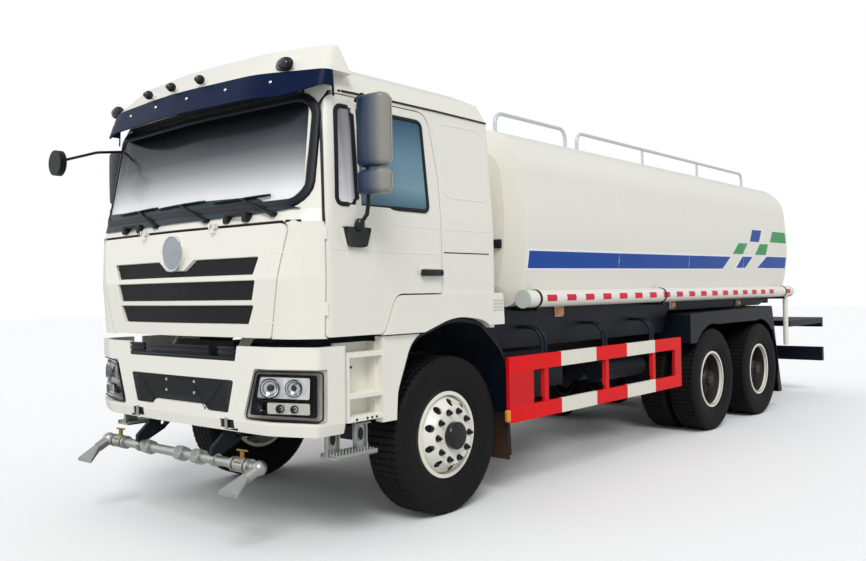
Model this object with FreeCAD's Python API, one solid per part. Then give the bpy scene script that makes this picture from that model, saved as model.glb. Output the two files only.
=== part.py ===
"""Three-axle water tanker lorry with a forward-control cab, built as separate sub-parts.

Frame: millimetres, +X to the lorry's left, +Y to its rear, +Z up. The origin is on the ground at the middle
of the overall length and width. Lengths along the lorry are given from the front axle, through along().
"""
import FreeCAD
import Part

import math
import os

V = FreeCAD.Vector

# ---------------------------------------------------------------- driving dimensions, whole vehicle
FRONT_REACH = 1600.0          # front axle to the nozzle tips
WHEELBASE = 4375.0            # front axle to the first driven axle
BOGIE = 1400.0                # between the two driven axles
REAR_REACH = 8400.0           # front axle to the tail lamps
FRONT_AXLE_Y = (FRONT_REACH - REAR_REACH) / 2
TRACK_FRONT = 2036.0
TRACK_REAR = 1850.0
TWIN_SPACING = 340.0
RUNNING_GAP = 0.3             # between a turning part and what carries it
PANEL_GAP = 9.0               # between two painted panels
SEAT_GAP = 0.3                # under a curved part that rests on another


def along(distance):
    """A place along the lorry, measured rearwards from the front axle."""
    return FRONT_AXLE_Y + distance


AXLES = {"front": along(0), "middle": along(WHEELBASE), "rear": along(WHEELBASE + BOGIE)}


# ---------------------------------------------------------------- drawing helpers
def outline(corners, place):
    """A closed wire through (u, v, radius) corners, with arcs where the radius is not zero."""
    count = len(corners)
    starts, ends, middles = [], [], []
    for i, (u, v, radius) in enumerate(corners):
        here = V(u, v, 0)
        back = V(*corners[i - 1][:2], 0) - here
        ahead = V(*corners[(i + 1) % count][:2], 0) - here
        back.normalize()
        ahead.normalize()
        half = back.getAngle(ahead) / 2
        if radius <= 0 or half > math.pi / 2 - 1e-6:
            starts.append(here)
            ends.append(here)
            middles.append(None)
            continue
        reach = radius / math.tan(half)
        bisector = back + ahead
        bisector.normalize()
        centre = here + bisector * (radius / math.sin(half))
        starts.append(here + back * reach)
        ends.append(here + ahead * reach)
        middles.append(centre - bisector * radius)
    edges = []
    for i in range(count):
        if middles[i] is not None:
            edges.append(Part.Arc(place(starts[i]), place(middles[i]), place(ends[i])).toShape())
        following = starts[(i + 1) % count]
        if (following - ends[i]).Length > 1e-6:
            edges.append(Part.LineSegment(place(ends[i]), place(following)).toShape())
    return Part.Wire(edges)


def on_side(x):
    """Places (y, z) drawing points on the plane at x."""
    return lambda p: V(x, p.x, p.y)


def on_front(y):
    """Places (x, z) drawing points on the plane at y."""
    return lambda p: V(p.x, y, p.y)


def on_plan(z):
    """Places (x, y) drawing points on the plane at z."""
    return lambda p: V(p.x, p.y, z)


def prism(corners, place, sweep):
    return Part.Face(outline(corners, place)).extrude(sweep)


def side_prism(corners, x0, x1):
    return prism(corners, on_side(x0), V(x1 - x0, 0, 0))


def front_prism(corners, y0, y1):
    return prism(corners, on_front(y0), V(0, y1 - y0, 0))


def box(x0, x1, y0, y1, z0, z1):
    return Part.makeBox(x1 - x0, y1 - y0, z1 - z0, V(x0, y0, z0))


def rod(start, end, radius):
    """A round bar between two points."""
    start, end = V(*start), V(*end)
    return Part.makeCylinder(radius, (end - start).Length, start, end - start)


def turned(profile, y, z):
    """A solid turned about the line along X at (y, z), from (x, r, corner radius) corners."""
    face = Part.Face(outline(profile, lambda p: V(p.x, y, z + p.y)))
    return face.revolve(V(0, y, z), V(1, 0, 0), 360)


def bent_tube(points, radius, bend):
    """A round tube along straight runs joined by arcs of one radius."""
    points = [V(*p) for p in points]
    edges, last = [], points[0]
    for i in range(1, len(points) - 1):
        back = (points[i - 1] - points[i]).normalize()
        ahead = (points[i + 1] - points[i]).normalize()
        half = back.getAngle(ahead) / 2
        reach = bend / math.tan(half)
        bisector = (back + ahead).normalize()
        middle = points[i] + bisector * (bend / math.sin(half) - bend)
        edges.append(Part.LineSegment(last, points[i] + back * reach).toShape())
        last = points[i] + ahead * reach
        edges.append(Part.Arc(points[i] + back * reach, middle, last).toShape())
    edges.append(Part.LineSegment(last, points[-1]).toShape())
    path = Part.Wire(edges)
    ring = Part.Wire(Part.makeCircle(radius, points[0], points[1] - points[0]))
    return path.makePipeShell([ring], True, False)


def mirrored(shape):
    return shape.mirror(V(0, 0, 0), V(1, 0, 0))


def both_sides(shape):
    return Part.makeCompound([shape, mirrored(shape)])


def fused(*shapes):
    result = shapes[0]
    for shape in shapes[1:]:
        result = result.fuse(shape)
    return result.removeSplitter()


# ---------------------------------------------------------------- body sections: cab, roof, visor, bumper
CENTRE_R, BACK_R = 3000.0, 30.0
# The shape of a front in plan: how far its shoulder lies inside the side and behind the middle, and the radii
# of the shoulder and of the side corner.
CAB_PLAN = (150.0, 60.0, 250.0, 110.0)
VISOR_PLAN = (420.0, 70.0, 600.0, 70.0)
BUMPER_PLAN = (300.0, 20.0, 200.0, 40.0)


def plan_section(z, half, front, corner, rear, inset, shape):
    """A body's plan at one height: a crowned front, rounded corners and a straight back."""
    shoulder_in, crown, shoulder_r, corner_r = shape
    h, f, c, r = half - inset, along(front) + inset, along(corner) + inset / 2, along(rear) - inset
    right = [(h, r, BACK_R), (h, c, max(corner_r - inset, 20.0)), (half - shoulder_in, f + crown, shoulder_r)]
    left = [(-u, v, radius) for u, v, radius in reversed(right)]
    return outline(right + [(0, f, CENTRE_R)] + left, on_plan(z))


def body_of(table, inset=0.0, shape=CAB_PLAN):
    """A ruled solid through plan sections. Table columns: height, half width, front, side corner, rear."""
    wires = [plan_section(z, half, front, corner, rear, inset, shape) for z, half, front, corner, rear in table]
    return Part.makeLoft(wires, True, True)


def lengthened(table, below, above, back=0.0):
    """The same table with its lowest and highest sections moved apart and its rear moved back."""
    last = len(table) - 1
    shift = [-below if i == 0 else above if i == last else 0.0 for i in range(last + 1)]
    return [(row[0] + shift[i], *row[1:4], row[4] + back) for i, row in enumerate(table)]


# ---------------------------------------------------------------- cab sizes
CAB_WALL = 60.0
CAB_BOTTOM, CAB_GUTTER = 1265.0, 2760.0
CAB_FLOOR, CAB_FLOOR_T = 1345.0, 45.0
CAB_REAR = 470.0
COWL_Z = 1955.0
#             height       half    front    corner   rear
CAB_TABLE = [(CAB_BOTTOM, 1218.0, -1380.0, -1160.0, CAB_REAR),
             (1620.0, 1224.0, -1405.0, -1175.0, CAB_REAR),
             (COWL_Z, 1222.0, -1390.0, -1170.0, CAB_REAR),
             (2025.0, 1220.0, -1345.0, -1160.0, CAB_REAR),
             (CAB_GUTTER, 1165.0, -1205.0, -1075.0, CAB_REAR)]
BULKHEAD_Y = (-1320.0, -1278.0)
#              height     half    front    corner   rear
ROOF_TABLE = [(CAB_GUTTER, 1165.0, -1205.0, -1075.0, CAB_REAR),
              (2880.0, 1115.0, -1160.0, -1030.0, 430.0),
              (2950.0, 985.0, -1110.0, -960.0, 300.0),
              (2975.0, 800.0, -1060.0, -900.0, 180.0)]
ROOF_WALL = 45.0
#                height   half    front    corner   rear
FAIRING_TABLE = [(2850.0, 1211.0, -1410.0, -1150.0, -930.0),
                 (3035.0, 1120.0, -1220.0, -1030.0, -945.0)]
VISOR_TOP = FAIRING_TABLE[0][0]
#              height    half    front    corner   rear
VISOR_TABLE = [(2695.0, 1222.0, -1462.0, -1200.0, -800.0),
               (VISOR_TOP, 1210.0, -1411.0, -1150.0, -800.0)]
VISOR_WALL, VISOR_END = 14.0, -1095.0
#              x, height, corner radius: the lower edge rises towards each end
VISOR_RISE = [(930.0, 2650.0, 0), (1400.0, 2650.0, 0), (1400.0, 2775.0, 0), (1215.0, 2757.0, 0),
              (1060.0, 2712.0, 200.0), (950.0, 2694.0, 0)]

# ---------------------------------------------------------------- wheel sizes
TYRE_R, TYRE_W = 542.5, 300.0
WHEEL_Z = TYRE_R
BEAD_R, RIM_WALL, FLANGE_R = 286.0, 14.0, 298.0
RIM_HALF = 105.0              # middle of the rim to the inside of its flange
FLANGE_T = 12.0
DISC_OFFSET = 170.0           # middle of the rim to the disc's mounting face
DISC_T = 12.0
HUB_BORE_FRONT, HUB_BORE_REAR = 45.0, 55.0
FRONT_WHEEL_X = TRACK_FRONT / 2
TWIN_IN_X = TRACK_REAR / 2 - TWIN_SPACING / 2
TWIN_OUT_X = TRACK_REAR / 2 + TWIN_SPACING / 2
HAND_HOLES, HAND_HOLE_R, HAND_HOLE_PCR = 10, 26.0, 222.0

# ---------------------------------------------------------------- chassis sizes
RAIL_OUT, RAIL_FLANGE, RAIL_T = 430.0, 80.0, 9.0
RAIL_BOTTOM, RAIL_TOP = 770.0, 1050.0
RAIL_FRONT, RAIL_REAR = -1200.0, 8320.0
RAIL_IN = RAIL_OUT - RAIL_FLANGE
KINGPIN_X, KINGPIN_R = 880.0, 24.0
TILT_Y, TILT_Z, TILT_PIN_R = -1290.0, 1000.0, 25.0
STEP_PANEL_X, STEP_PANEL_Z = (1060.0, 1200.0), 752.0
STEP_PLATE_X = 1130.0
OUTRIGGER_Y = -900.0

# ---------------------------------------------------------------- front wheel arch, seen from the side
#        distance from the axle, height, corner radius
ARCH = [(-575.0, 700.0, 0), (-560.0, 900.0, 250.0), (-420.0, 1225.0, 220.0), (0.0, 1352.0, 700.0),
        (330.0, 1310.0, 300.0), (600.0, 1090.0, 200.0), (655.0, 800.0, 200.0), (690.0, 240.0, 0),
        (-575.0, 240.0, 0)]
MUDGUARD_T = 22.0
MUDGUARD_X = (745.0, 1185.0)
ARCH_GAP = 12.0


def arch_face(x, grow):
    """The wheel arch's outline at x, larger by grow, or smaller where it is negative."""
    face = Part.Face(outline([(along(u), v, r) for u, v, r in ARCH], on_side(x)))
    return face if grow == 0 else Part.Face(face.makeOffset2D(grow).OuterWire)


def arch_block(x0, x1, grow):
    return arch_face(x0, grow).extrude(V(x1 - x0, 0, 0))


# ---------------------------------------------------------------- doors, windows and front flap
#        distance, height, corner radius
DOOR = [(-1170.0, 1272.0, 20.0), (-700.0, 1272.0, 60.0), (-590.0, 1520.0, 90.0), (-140.0, 1520.0, 10.0),
        (-145.0, 2300.0, 0), (-215.0, 2722.0, 110.0), (-1100.0, 2722.0, 60.0), (-1170.0, 2000.0, 0)]
WINDOW = [(-1085.0, 2060.0, 45.0), (-265.0, 2060.0, 45.0), (-285.0, 2655.0, 80.0), (-1045.0, 2655.0, 60.0)]
GLASS_T = 10.0
SIDE_WALL_X = (1075.0, 1400.0)
#        x, height, corner radius
FLAP_TOP = 1943.0
FLAP = [(-895.0, 1268.0, 20.0), (895.0, 1268.0, 20.0), (1055.0, FLAP_TOP, 45.0), (-1055.0, FLAP_TOP, 45.0)]
FLAP_T = 30.0
FLAP_TOP_GAP, FLAP_SIDE_GAP = 18.0, 11.5
FLAP_HINGE_Y, FLAP_HINGE_Z, FLAP_PIN_R, FLAP_EYE_R = -1384.0, 1950.0, 5.0, 10.0
FLAP_HINGES_X = (-430.0, 370.0)
FLAP_HINGE_W, FLAP_EAR_W = 60.0, 12.0
SCREEN = [(-1100.0, 2070.0, 110.0), (1100.0, 2070.0, 110.0), (1052.0, 2705.0, 90.0), (-1052.0, 2705.0, 90.0)]
GRILLE_DEPTH = 18.0
#        bottom, top, half width at the bottom, half width at the top
BARS = [(1348.0, 1467.0, 705.0, 765.0), (1493.0, 1617.0, 750.0, 790.0), (1647.0, 1757.0, 770.0, 822.0)]
#        x, height, corner radius: the painted field that dips into the top bar
BADGE_FIELD = [(-100.0, 1692.0, 20.0), (100.0, 1692.0, 20.0), (205.0, 1760.0, 0), (-205.0, 1760.0, 0)]
BADGE_Z, BADGE_R, BADGE_T = 1805.0, 118.0, 10.0
SILL_X = 1108.0                # the floor stops this far out, clear of the door's swing
DOOR_HINGE_X = 1222.0
DOOR_HINGE_Y = DOOR[0][0] - PANEL_GAP / 2
DOOR_HINGES_Z = ((1400.0, 1480.0), (1845.0, 1925.0))
DOOR_PIN_R, DOOR_EAR_DEPTH = 4.0, 18.0


def offset_prism(corners, place, sweep, gap):
    """A prism whose outline is moved outwards by gap, or inwards where it is negative."""
    face = Part.Face(outline(corners, place))
    return Part.Face(face.makeOffset2D(gap).OuterWire).extrude(sweep)


def side_cutter(corners, gap=0.0, start=SIDE_WALL_X[0]):
    """Cuts through the left wall of the cab from x = start outwards, along an outline seen from the side."""
    moved = [(along(u), v, r) for u, v, r in corners]
    if gap == 0:
        return side_prism(moved, start, SIDE_WALL_X[1])
    return offset_prism(moved, on_side(start), V(SIDE_WALL_X[1] - start, 0, 0), gap)


def front_cutter(corners, gap=0.0, start=-1700.0, end=-1100.0):
    """Cuts through a front wall, from an outline seen from ahead."""
    if gap == 0:
        return front_prism(corners, along(start), along(end))
    return offset_prism(corners, on_front(along(start)), V(0, end - start, 0), gap)


def cab_skin():
    """The cab's whole form below the gutter, its hollow, and the walls between them."""
    outer = body_of(CAB_TABLE)
    hollow = body_of(lengthened(CAB_TABLE, 5.0, 5.0), CAB_WALL)
    return outer, hollow, outer.cut(hollow)


def flare_panels():
    """The bulged arch panels behind and above the front wheels, a little proud of the cab's side."""
    corners = [(-706.0, CAB_BOTTOM, 0), (-584.0, 1514.0, 90.0), (545.0, 1514.0, 25.0), (560.0, 1285.0, 10.0),
               (300.0, 1285.0, 0), (0.0, CAB_BOTTOM, 0)]
    panel = side_prism([(along(u), v, r) for u, v, r in corners], 1160.0, 1232.0)
    return both_sides(panel)


def tilt_arms():
    """Two arms under the cab floor that turn on the chassis hinge pins."""
    arms = []
    for side in (-1, 1):
        x0, x1 = sorted((side * 362.0, side * 398.0))
        y, z = along(TILT_Y), TILT_Z
        arm = side_prism([(y - 5, z - 25, 0), (y + 30, z - 25, 0), (y + 290, CAB_FLOOR, 0),
                          (y + 200, CAB_FLOOR, 0)], x0, x1)
        eye = rod((x0, y, z), (x1, y, z), 48.0)
        hole = rod((x0 - 5, y, z), (x1 + 5, y, z), TILT_PIN_R + RUNNING_GAP)
        arms.append(arm.fuse(eye).cut(hole))
    return arms


def flap_hinge_ears():
    """Ears on the cowl with the pins that the front flap hangs from."""
    y, z = along(FLAP_HINGE_Y), FLAP_HINGE_Z
    pieces = []
    for x in FLAP_HINGES_X:
        for x0 in (x, x + FLAP_HINGE_W - FLAP_EAR_W):
            pieces.append(box(x0, x0 + FLAP_EAR_W, y - 9, along(-1340), z - FLAP_PIN_R - 0.5, z + 25))
        pieces.append(rod((x, y, z), (x + FLAP_HINGE_W, y, z), FLAP_PIN_R))
    return pieces


def flap_hinge_eyes():
    """The flap's own eyes, each on a short arm, and the bores through them."""
    y, z = along(FLAP_HINGE_Y), FLAP_HINGE_Z
    solids, bores = [], []
    for x in FLAP_HINGES_X:
        x0, x1 = x + FLAP_EAR_W + 1, x + FLAP_HINGE_W - FLAP_EAR_W - 1
        solids.append(rod((x0, y, z), (x1, y, z), FLAP_EYE_R))
        solids.append(box(x0, x1, y - FLAP_EYE_R + 2, along(-1358), FLAP_TOP - 25, z - FLAP_PIN_R))
        bores.append(rod((x, y, z), (x + FLAP_HINGE_W, y, z), FLAP_PIN_R + RUNNING_GAP))
    return solids, bores


def door_hinge_pins():
    """Two short pins in the seam before the left door, on its hinge line, each on an ear of the corner panel."""
    y = along(DOOR_HINGE_Y)
    pieces = []
    for z0, z1 in DOOR_HINGES_Z:
        pin = rod((DOOR_HINGE_X, y, z0), (DOOR_HINGE_X, y, z1), DOOR_PIN_R)
        ear = box(DOOR_HINGE_X - DOOR_EAR_DEPTH, DOOR_HINGE_X, y - PANEL_GAP / 2 - 1, y - 1, z0, z1)
        pieces.append(fused(pin, ear))
    return Part.makeCompound(pieces)


def cab_parts():
    outer, hollow, skin = cab_skin()
    shell = skin.fuse(flare_panels().Solids)
    shell = shell.cut(side_cutter(DOOR, PANEL_GAP)).cut(mirrored(side_cutter(DOOR, PANEL_GAP)))
    floor = box(-1300, 1300, along(-1500), along(600), CAB_FLOOR, CAB_FLOOR + CAB_FLOOR_T).common(hollow)
    sill = side_cutter(DOOR, PANEL_GAP, SILL_X)
    shell = shell.fuse(floor.cut(sill).cut(mirrored(sill)))
    for x0, x1 in ((1130.0, 1300.0), (-1300.0, -1130.0)):
        shell = shell.cut(arch_block(x0, x1, ARCH_GAP))
    raised = [(u, v + (FLAP_TOP_GAP - FLAP_SIDE_GAP if v == FLAP_TOP else 0), r) for u, v, r in FLAP]
    seam = front_cutter(raised, FLAP_SIDE_GAP)
    shell = shell.cut(seam).cut(front_cutter(SCREEN))
    bulkhead = box(-1130, 1130, along(BULKHEAD_Y[0]), along(BULKHEAD_Y[1]), CAB_FLOOR, 2000.0)
    shell = shell.fuse(bulkhead.common(body_of(CAB_TABLE, FLAP_T + PANEL_GAP)))
    shell = shell.fuse([*tilt_arms(), *flap_hinge_ears(), *both_sides(door_hinge_pins()).Solids]).removeSplitter()

    liner = body_of(CAB_TABLE, FLAP_T)
    flap = outer.cut(liner).common(front_cutter(FLAP))
    for low, high, half_low, half_high in BARS:
        corners = [(-half_low, low, 14.0), (half_low, low, 14.0), (half_high, high, 10.0), (-half_high, high, 10.0)]
        pocket = front_cutter(corners).cut(body_of(CAB_TABLE, GRILLE_DEPTH))
        flap = flap.cut(pocket)
    face_y = along(CAB_TABLE[1][2])
    field = front_cutter(BADGE_FIELD).common(outer).cut(liner)
    disc = rod((0, face_y - BADGE_T, BADGE_Z), (0, face_y + 30, BADGE_Z), BADGE_R)
    eyes, bores = flap_hinge_eyes()
    flap = fused(flap, field, disc, *eyes).cut(bores)

    glass_outer, glass_inner = body_of(CAB_TABLE, 12.0), body_of(CAB_TABLE, 12.0 + GLASS_T)
    screen = glass_outer.cut(glass_inner).common(front_cutter(SCREEN, -SEAT_GAP))
    return {"cab_shell": shell, "front_flap": flap, "windscreen": screen}


def door_parts():
    outer, hollow, skin = cab_skin()
    door = skin.common(side_cutter(DOOR)).cut(side_cutter(WINDOW))
    door = door.cut(arch_block(1130.0, 1300.0, ARCH_GAP))
    divider = side_prism([(along(-915), 2040.0, 0), (along(-880), 2040.0, 0), (along(-880), 2670.0, 0),
                          (along(-915), 2670.0, 0)], 900.0, 1300.0)
    door = door.fuse(skin.common(divider))
    handle = box(1222.0, 1240.0, along(-357), along(-165), 1650.0, 1685.0)
    plate = side_prism([(along(-1055), 1915.0, 0), (along(-833), 1925.0, 0), (along(-862), 1808.0, 25.0),
                        (along(-1020), 1803.0, 25.0)], 1215.0, 1236.0)
    door = door.fuse([handle, plate]).removeSplitter()
    glass = body_of(CAB_TABLE, 22.0).cut(body_of(CAB_TABLE, 22.0 + GLASS_T))
    glass = glass.common(side_cutter(WINDOW, -SEAT_GAP))
    glass = glass.cut(box(900.0, 1300.0, along(-915) - SEAT_GAP, along(-880) + SEAT_GAP, 2000.0, 2700.0))
    parts = {"door_left": door, "door_glass_left": glass, "mirror_left": mirror()}
    parts.update({name.replace("left", "right"): mirrored(shape) for name, shape in list(parts.items())})
    return parts


MIRROR_X, MIRROR_Y = (1310.0, 1530.0), (-1045.0, -925.0)
MIRROR_Z = ((2105.0, 2250.0), (2265.0, 2690.0))


def mirror():
    """The door mirror: a tubular arm with a wide-angle housing under the main one."""
    middle_x = sum(MIRROR_X) / 2
    arm = bent_tube([(1238.0, along(-905), 1990.0), (1300.0, along(-905), 1990.0), (1300.0, along(-905), 2715.0),
                     (1150.0, along(-985), 2700.0)], 13.0, 40.0)
    housings = []
    for z0, z1 in MIRROR_Z:
        shape = prism([(MIRROR_X[0], along(MIRROR_Y[1]), 10.0), (MIRROR_X[1], along(MIRROR_Y[1]), 10.0),
                       (MIRROR_X[1] - 12, along(MIRROR_Y[0] + 20), 50.0), (MIRROR_X[0] + 8, along(MIRROR_Y[0]), 50.0)],
                      on_plan(z0), V(0, 0, z1 - z0))
        housings.append(shape)
    lugs = [box(1295.0, 1330.0, along(-945), along(-895), z, z + 40.0) for z in (2160.0, 2320.0, 2600.0)]
    foot = box(1230.0, 1262.0, along(-935), along(-875), 1960.0, 2020.0)
    neck = box(1236.0 + SEAT_GAP, 1258.0, along(-925), along(-885), 1890.0, 1975.0)
    whole = fused(arm, *housings, *lugs, foot, neck)
    return whole.cut(body_of(CAB_TABLE, -SEAT_GAP))


def roof():
    """The roof above the gutter with the fairing across its front and five marker lamps."""
    shell = body_of(ROOF_TABLE).cut(body_of(lengthened(ROOF_TABLE[:-1], 5.0, -20.0), ROOF_WALL))
    fairing = body_of(FAIRING_TABLE, 0.0, VISOR_PLAN)
    lamps = []
    for x, radius, back in ((-300, 24, 25), (0, 24, 10), (300, 24, 25), (-960, 42, 165), (960, 42, 165)):
        lamps.append(rod((x, along(-1405 + back), 2895.0), (x, along(-1290 + back), 2895.0), radius))
    return fused(shell, fairing.cut(body_of(ROOF_TABLE)), *lamps)


def visor():
    inside = body_of(lengthened(VISOR_TABLE, 5.0, 5.0), VISOR_WALL, VISOR_PLAN)
    band = body_of(VISOR_TABLE, 0.0, VISOR_PLAN).cut(inside)
    rise = front_cutter(VISOR_RISE)
    band = band.common(box(-1400, 1400, along(-1600), along(VISOR_END), 2600, 2900))
    return band.cut(rise).cut(mirrored(rise))


def wipers():
    """Three wiper arms on the cowl and two grab handles below them."""
    pieces = []
    for x in (-700.0, -40.0, 620.0):
        y0, z0 = along(-1425), 1998.0
        spindle = rod((x, along(-1300), z0), (x, y0 - 5, z0), 16.0)
        arm = rod((x, y0, z0), (x - 330.0, along(-1385), 2105.0), 10.0)
        blade = rod((x - 560.0, along(-1370), 2092.0), (x - 100.0, along(-1372), 2118.0), 12.0)
        pieces.append(fused(spindle, arm, blade).cut(body_of(CAB_TABLE, -SEAT_GAP)))
    return Part.makeCompound(pieces)


def front_corner_mirror():
    """The round kerb mirror on its rod at the cab's right front corner."""
    stem = bent_tube([(-1085.0, along(-1080), 2640.0), (-1125.0, along(-1330), 2610.0),
                      (-1350.0, along(-1495), 2555.0)], 10.0, 40.0)
    dish = rod((-1385.0, along(-1530), 2540.0), (-1385.0, along(-1480), 2540.0), 95.0)
    return fused(stem, dish).cut(body_of(CAB_TABLE, -SEAT_GAP))


def cab_inside():
    """Dashboard with the steering wheel, and two seats with a bunk behind them."""
    front = along(BULKHEAD_Y[1]) + SEAT_GAP
    dash = side_prism([(front, 1500.0, 0), (front, 1980.0, 0), (along(-1120), 1990.0, 60.0),
                       (along(-960), 1930.0, 60.0), (along(-1020), 1640.0, 60.0)], -1060.0, 1060.0)
    wheel_centre, wheel_axis = V(520.0, along(-850), 1990.0), V(0, 0.55, 0.83)
    wheel_axis.normalize()
    ring = Part.makeTorus(215.0, 16.0, wheel_centre, wheel_axis)
    column = rod(tuple(wheel_centre + wheel_axis * 8), tuple(wheel_centre - wheel_axis * 220), 34.0)
    spokes = [rod((520.0 - 205, along(-850), 1990.0), (520.0 + 205, along(-850), 1990.0), 14.0)]
    dash = dash.common(body_of(CAB_TABLE, CAB_WALL + SEAT_GAP))
    dashboard = fused(dash, ring, column, *spokes)
    seats = []
    floor_top = CAB_FLOOR + CAB_FLOOR_T
    for x in (-520.0, 520.0):
        base = box(x - 190, x + 190, along(-640), along(-240), floor_top, 1640.0)
        cushion = box(x - 260, x + 260, along(-700), along(-190), 1640.0, 1790.0)
        back = side_prism([(along(-300), 1780.0, 0), (along(-180), 1780.0, 0), (along(-60), 2440.0, 40.0),
                           (along(-160), 2450.0, 40.0)], x - 245, x + 245)
        rest = side_prism([(along(-150), 2430.0, 0), (along(-70), 2430.0, 0), (along(-50), 2600.0, 30.0),
                           (along(-130), 2600.0, 30.0)], x - 130, x + 130)
        seats.append(fused(base, cushion, back, rest))
    bunk = box(-1080, 1080, along(10), along(CAB_REAR - CAB_WALL), floor_top, 1900.0)
    return {"dashboard": dashboard, "seats": Part.makeCompound([*seats, bunk])}


# ---------------------------------------------------------------- front end on the chassis
#               height   half    front    corner   rear
BUMPER_TABLE = [(695.0, 1190.0, -1375.0, -1240.0, -1010.0),
                (760.0, 1207.0, -1385.0, -1246.0, -1010.0),
                (1218.0, 1212.0, -1387.0, -1248.0, -1010.0)]
BUMPER_WALL = 30.0
#        x, height, corner radius: the dip in the middle of the bumper's top
BUMPER_DIP = [(-600.0, 1125.0, 10.0), (600.0, 1125.0, 10.0), (640.0, 1300.0, 0), (-640.0, 1300.0, 0)]
#        x, height, corner radius: the left headlamp
LAMP = [(668.0, 776.0, 25.0), (1300.0, 776.0, 0), (1300.0, 1088.0, 0), (782.0, 1088.0, 25.0)]
LAMP_END = -1170.0
#        x, height, corner radius: the dark panel in the bumper
BUMPER_GRILLE = [(-525.0, 803.0, 20.0), (-320.0, 803.0, 20.0), (-270.0, 838.0, 20.0), (270.0, 838.0, 20.0),
                 (320.0, 803.0, 20.0), (525.0, 803.0, 20.0), (583.0, 1008.0, 20.0), (-583.0, 1008.0, 20.0)]
TOW_SLOTS_X, TOW_SLOT_HALF, TOW_SLOT_Z = (-510.0, 510.0), 68.0, (712.0, 766.0)
TIES_X, TIE_HALF, TIE_Y, TIE_Z = (-390.0, 390.0), 18.0, (-1350.0, -1225.0), (830.0, 930.0)
TOW_X, TOW_BORE_R, TOW_Y, TOW_Z = 430.0, 20.0, -1240.0, 650.0
BAR_Y, BAR_Z, BAR_R = -1400.0, 510.0, 30.0


def bumper_parts():
    outer = body_of(BUMPER_TABLE, 0.0, BUMPER_PLAN)
    inside = body_of(lengthened(BUMPER_TABLE, 5.0, 5.0, 200.0), BUMPER_WALL, BUMPER_PLAN)
    shell = outer.cut(inside)
    shell = shell.cut(front_cutter(BUMPER_DIP, 0.0, -1700.0, -1300.0))
    lamp_space = front_cutter(LAMP, 0.0, -1700.0, LAMP_END)
    lamp = outer.cut(inside).common(front_cutter(LAMP, -SEAT_GAP, -1700.0, LAMP_END - SEAT_GAP))
    pocket = front_cutter(BUMPER_GRILLE, 0.0, -1700.0, BUMPER_TABLE[1][2] + GRILLE_DEPTH)
    shell = shell.cut(lamp_space).cut(mirrored(lamp_space)).cut(pocket)
    for x in TOW_SLOTS_X:
        shell = shell.cut(box(x - TOW_SLOT_HALF, x + TOW_SLOT_HALF, along(-1600), along(-1300), *TOW_SLOT_Z))
    ties = [box(x - TIE_HALF, x + TIE_HALF, along(TIE_Y[0]), along(TIE_Y[1]), *TIE_Z) for x in TIES_X]
    shell = fused(shell, *ties)
    return {"bumper": shell, "headlamps": both_sides(lamp)}


def step_panels():
    """The painted step boxes beside the bumper with the fender strip in front of the wheel."""
    x0, x1 = STEP_PANEL_X
    y0, y1 = along(-1005), along(-700)
    low = STEP_PANEL_Z
    back = box(x0, x0 + 20, y0, y1, low, 1225.0)
    front_cheek = box(x0, x1, y0, y0 + 20, low, 1165.0)
    treads = [box(x0, x1, y0, y1 + 20, z, z + 25) for z in (low, 892.0, 1140.0)]
    fender = side_prism([(along(-705), 722.0, 0), (along(-500), 722.0, 0), (along(-250), CAB_BOTTOM - 10, 0),
                         (along(-705), CAB_BOTTOM - 10, 0)], x1 - 60, x1 + 5)
    fender = fender.cut(arch_block(x1 - 80, x1 + 30, PANEL_GAP))
    link = box(x0, x1 - 50, y1 - 20, y1, low, 1225.0)
    return both_sides(fused(back, front_cheek, *treads, fender, link))


def lower_steps():
    """The bright steps hung under the step boxes."""
    x0, x1 = 1030.0, 1195.0
    y0, y1 = along(-1130), along(-660)
    tread = box(x0, x1, y0, y1, 548.0, 575.0)
    slots = [box(x0 + 25, x1 - 25, y0 + 45 + i * 42, y0 + 63 + i * 42, 540.0, 580.0) for i in range(9)]
    tread = tread.cut(Part.makeCompound(slots))
    plates = []
    for y in (y0, y1 - 14):
        plate = box(x0, STEP_PLATE_X, y, y + 14, 570.0, 740.0)
        middle_x = (x0 + STEP_PLATE_X) / 2
        plates.append(plate.cut(rod((middle_x, y - 5, 660.0), (middle_x, y + 20, 660.0), 30.0)))
    under = STEP_PANEL_Z - SEAT_GAP
    brackets = [box(x0, STEP_PLATE_X, y0, y0 + 150, under - 14, under),
                box(x0, STEP_PLATE_X, y1 - 75, y1, under - 14, under)]
    return both_sides(fused(tread, *plates, *brackets))


def front_mudguards():
    """Black bands over the front wheels, each with its flap, carried on stays from the frame."""
    x0, x1 = MUDGUARD_X
    band = arch_block(x0, x1, 0).cut(arch_block(x0 - 1, x1 + 1, -MUDGUARD_T))
    band = band.cut(box(x0 - 5, x1 + 5, along(-700), along(600), 200.0, 900.0))
    band = band.cut(box(x0 - 5, x1 + 5, along(-700), along(800), 200.0, 300.0))
    stay = rod((RAIL_OUT - 30, along(560), 960.0), (x0 + 60, along(632), 960.0), 18.0)
    post = rod((RAIL_OUT - 30, along(-500), 1010.0), (x0 + 40, along(-500), 1020.0), 18.0)
    inboard = box(0, RAIL_OUT + SEAT_GAP, along(-700), along(700), 800.0, 1200.0)
    return both_sides(fused(band, stay.cut(inboard), post.cut(inboard)))


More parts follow.
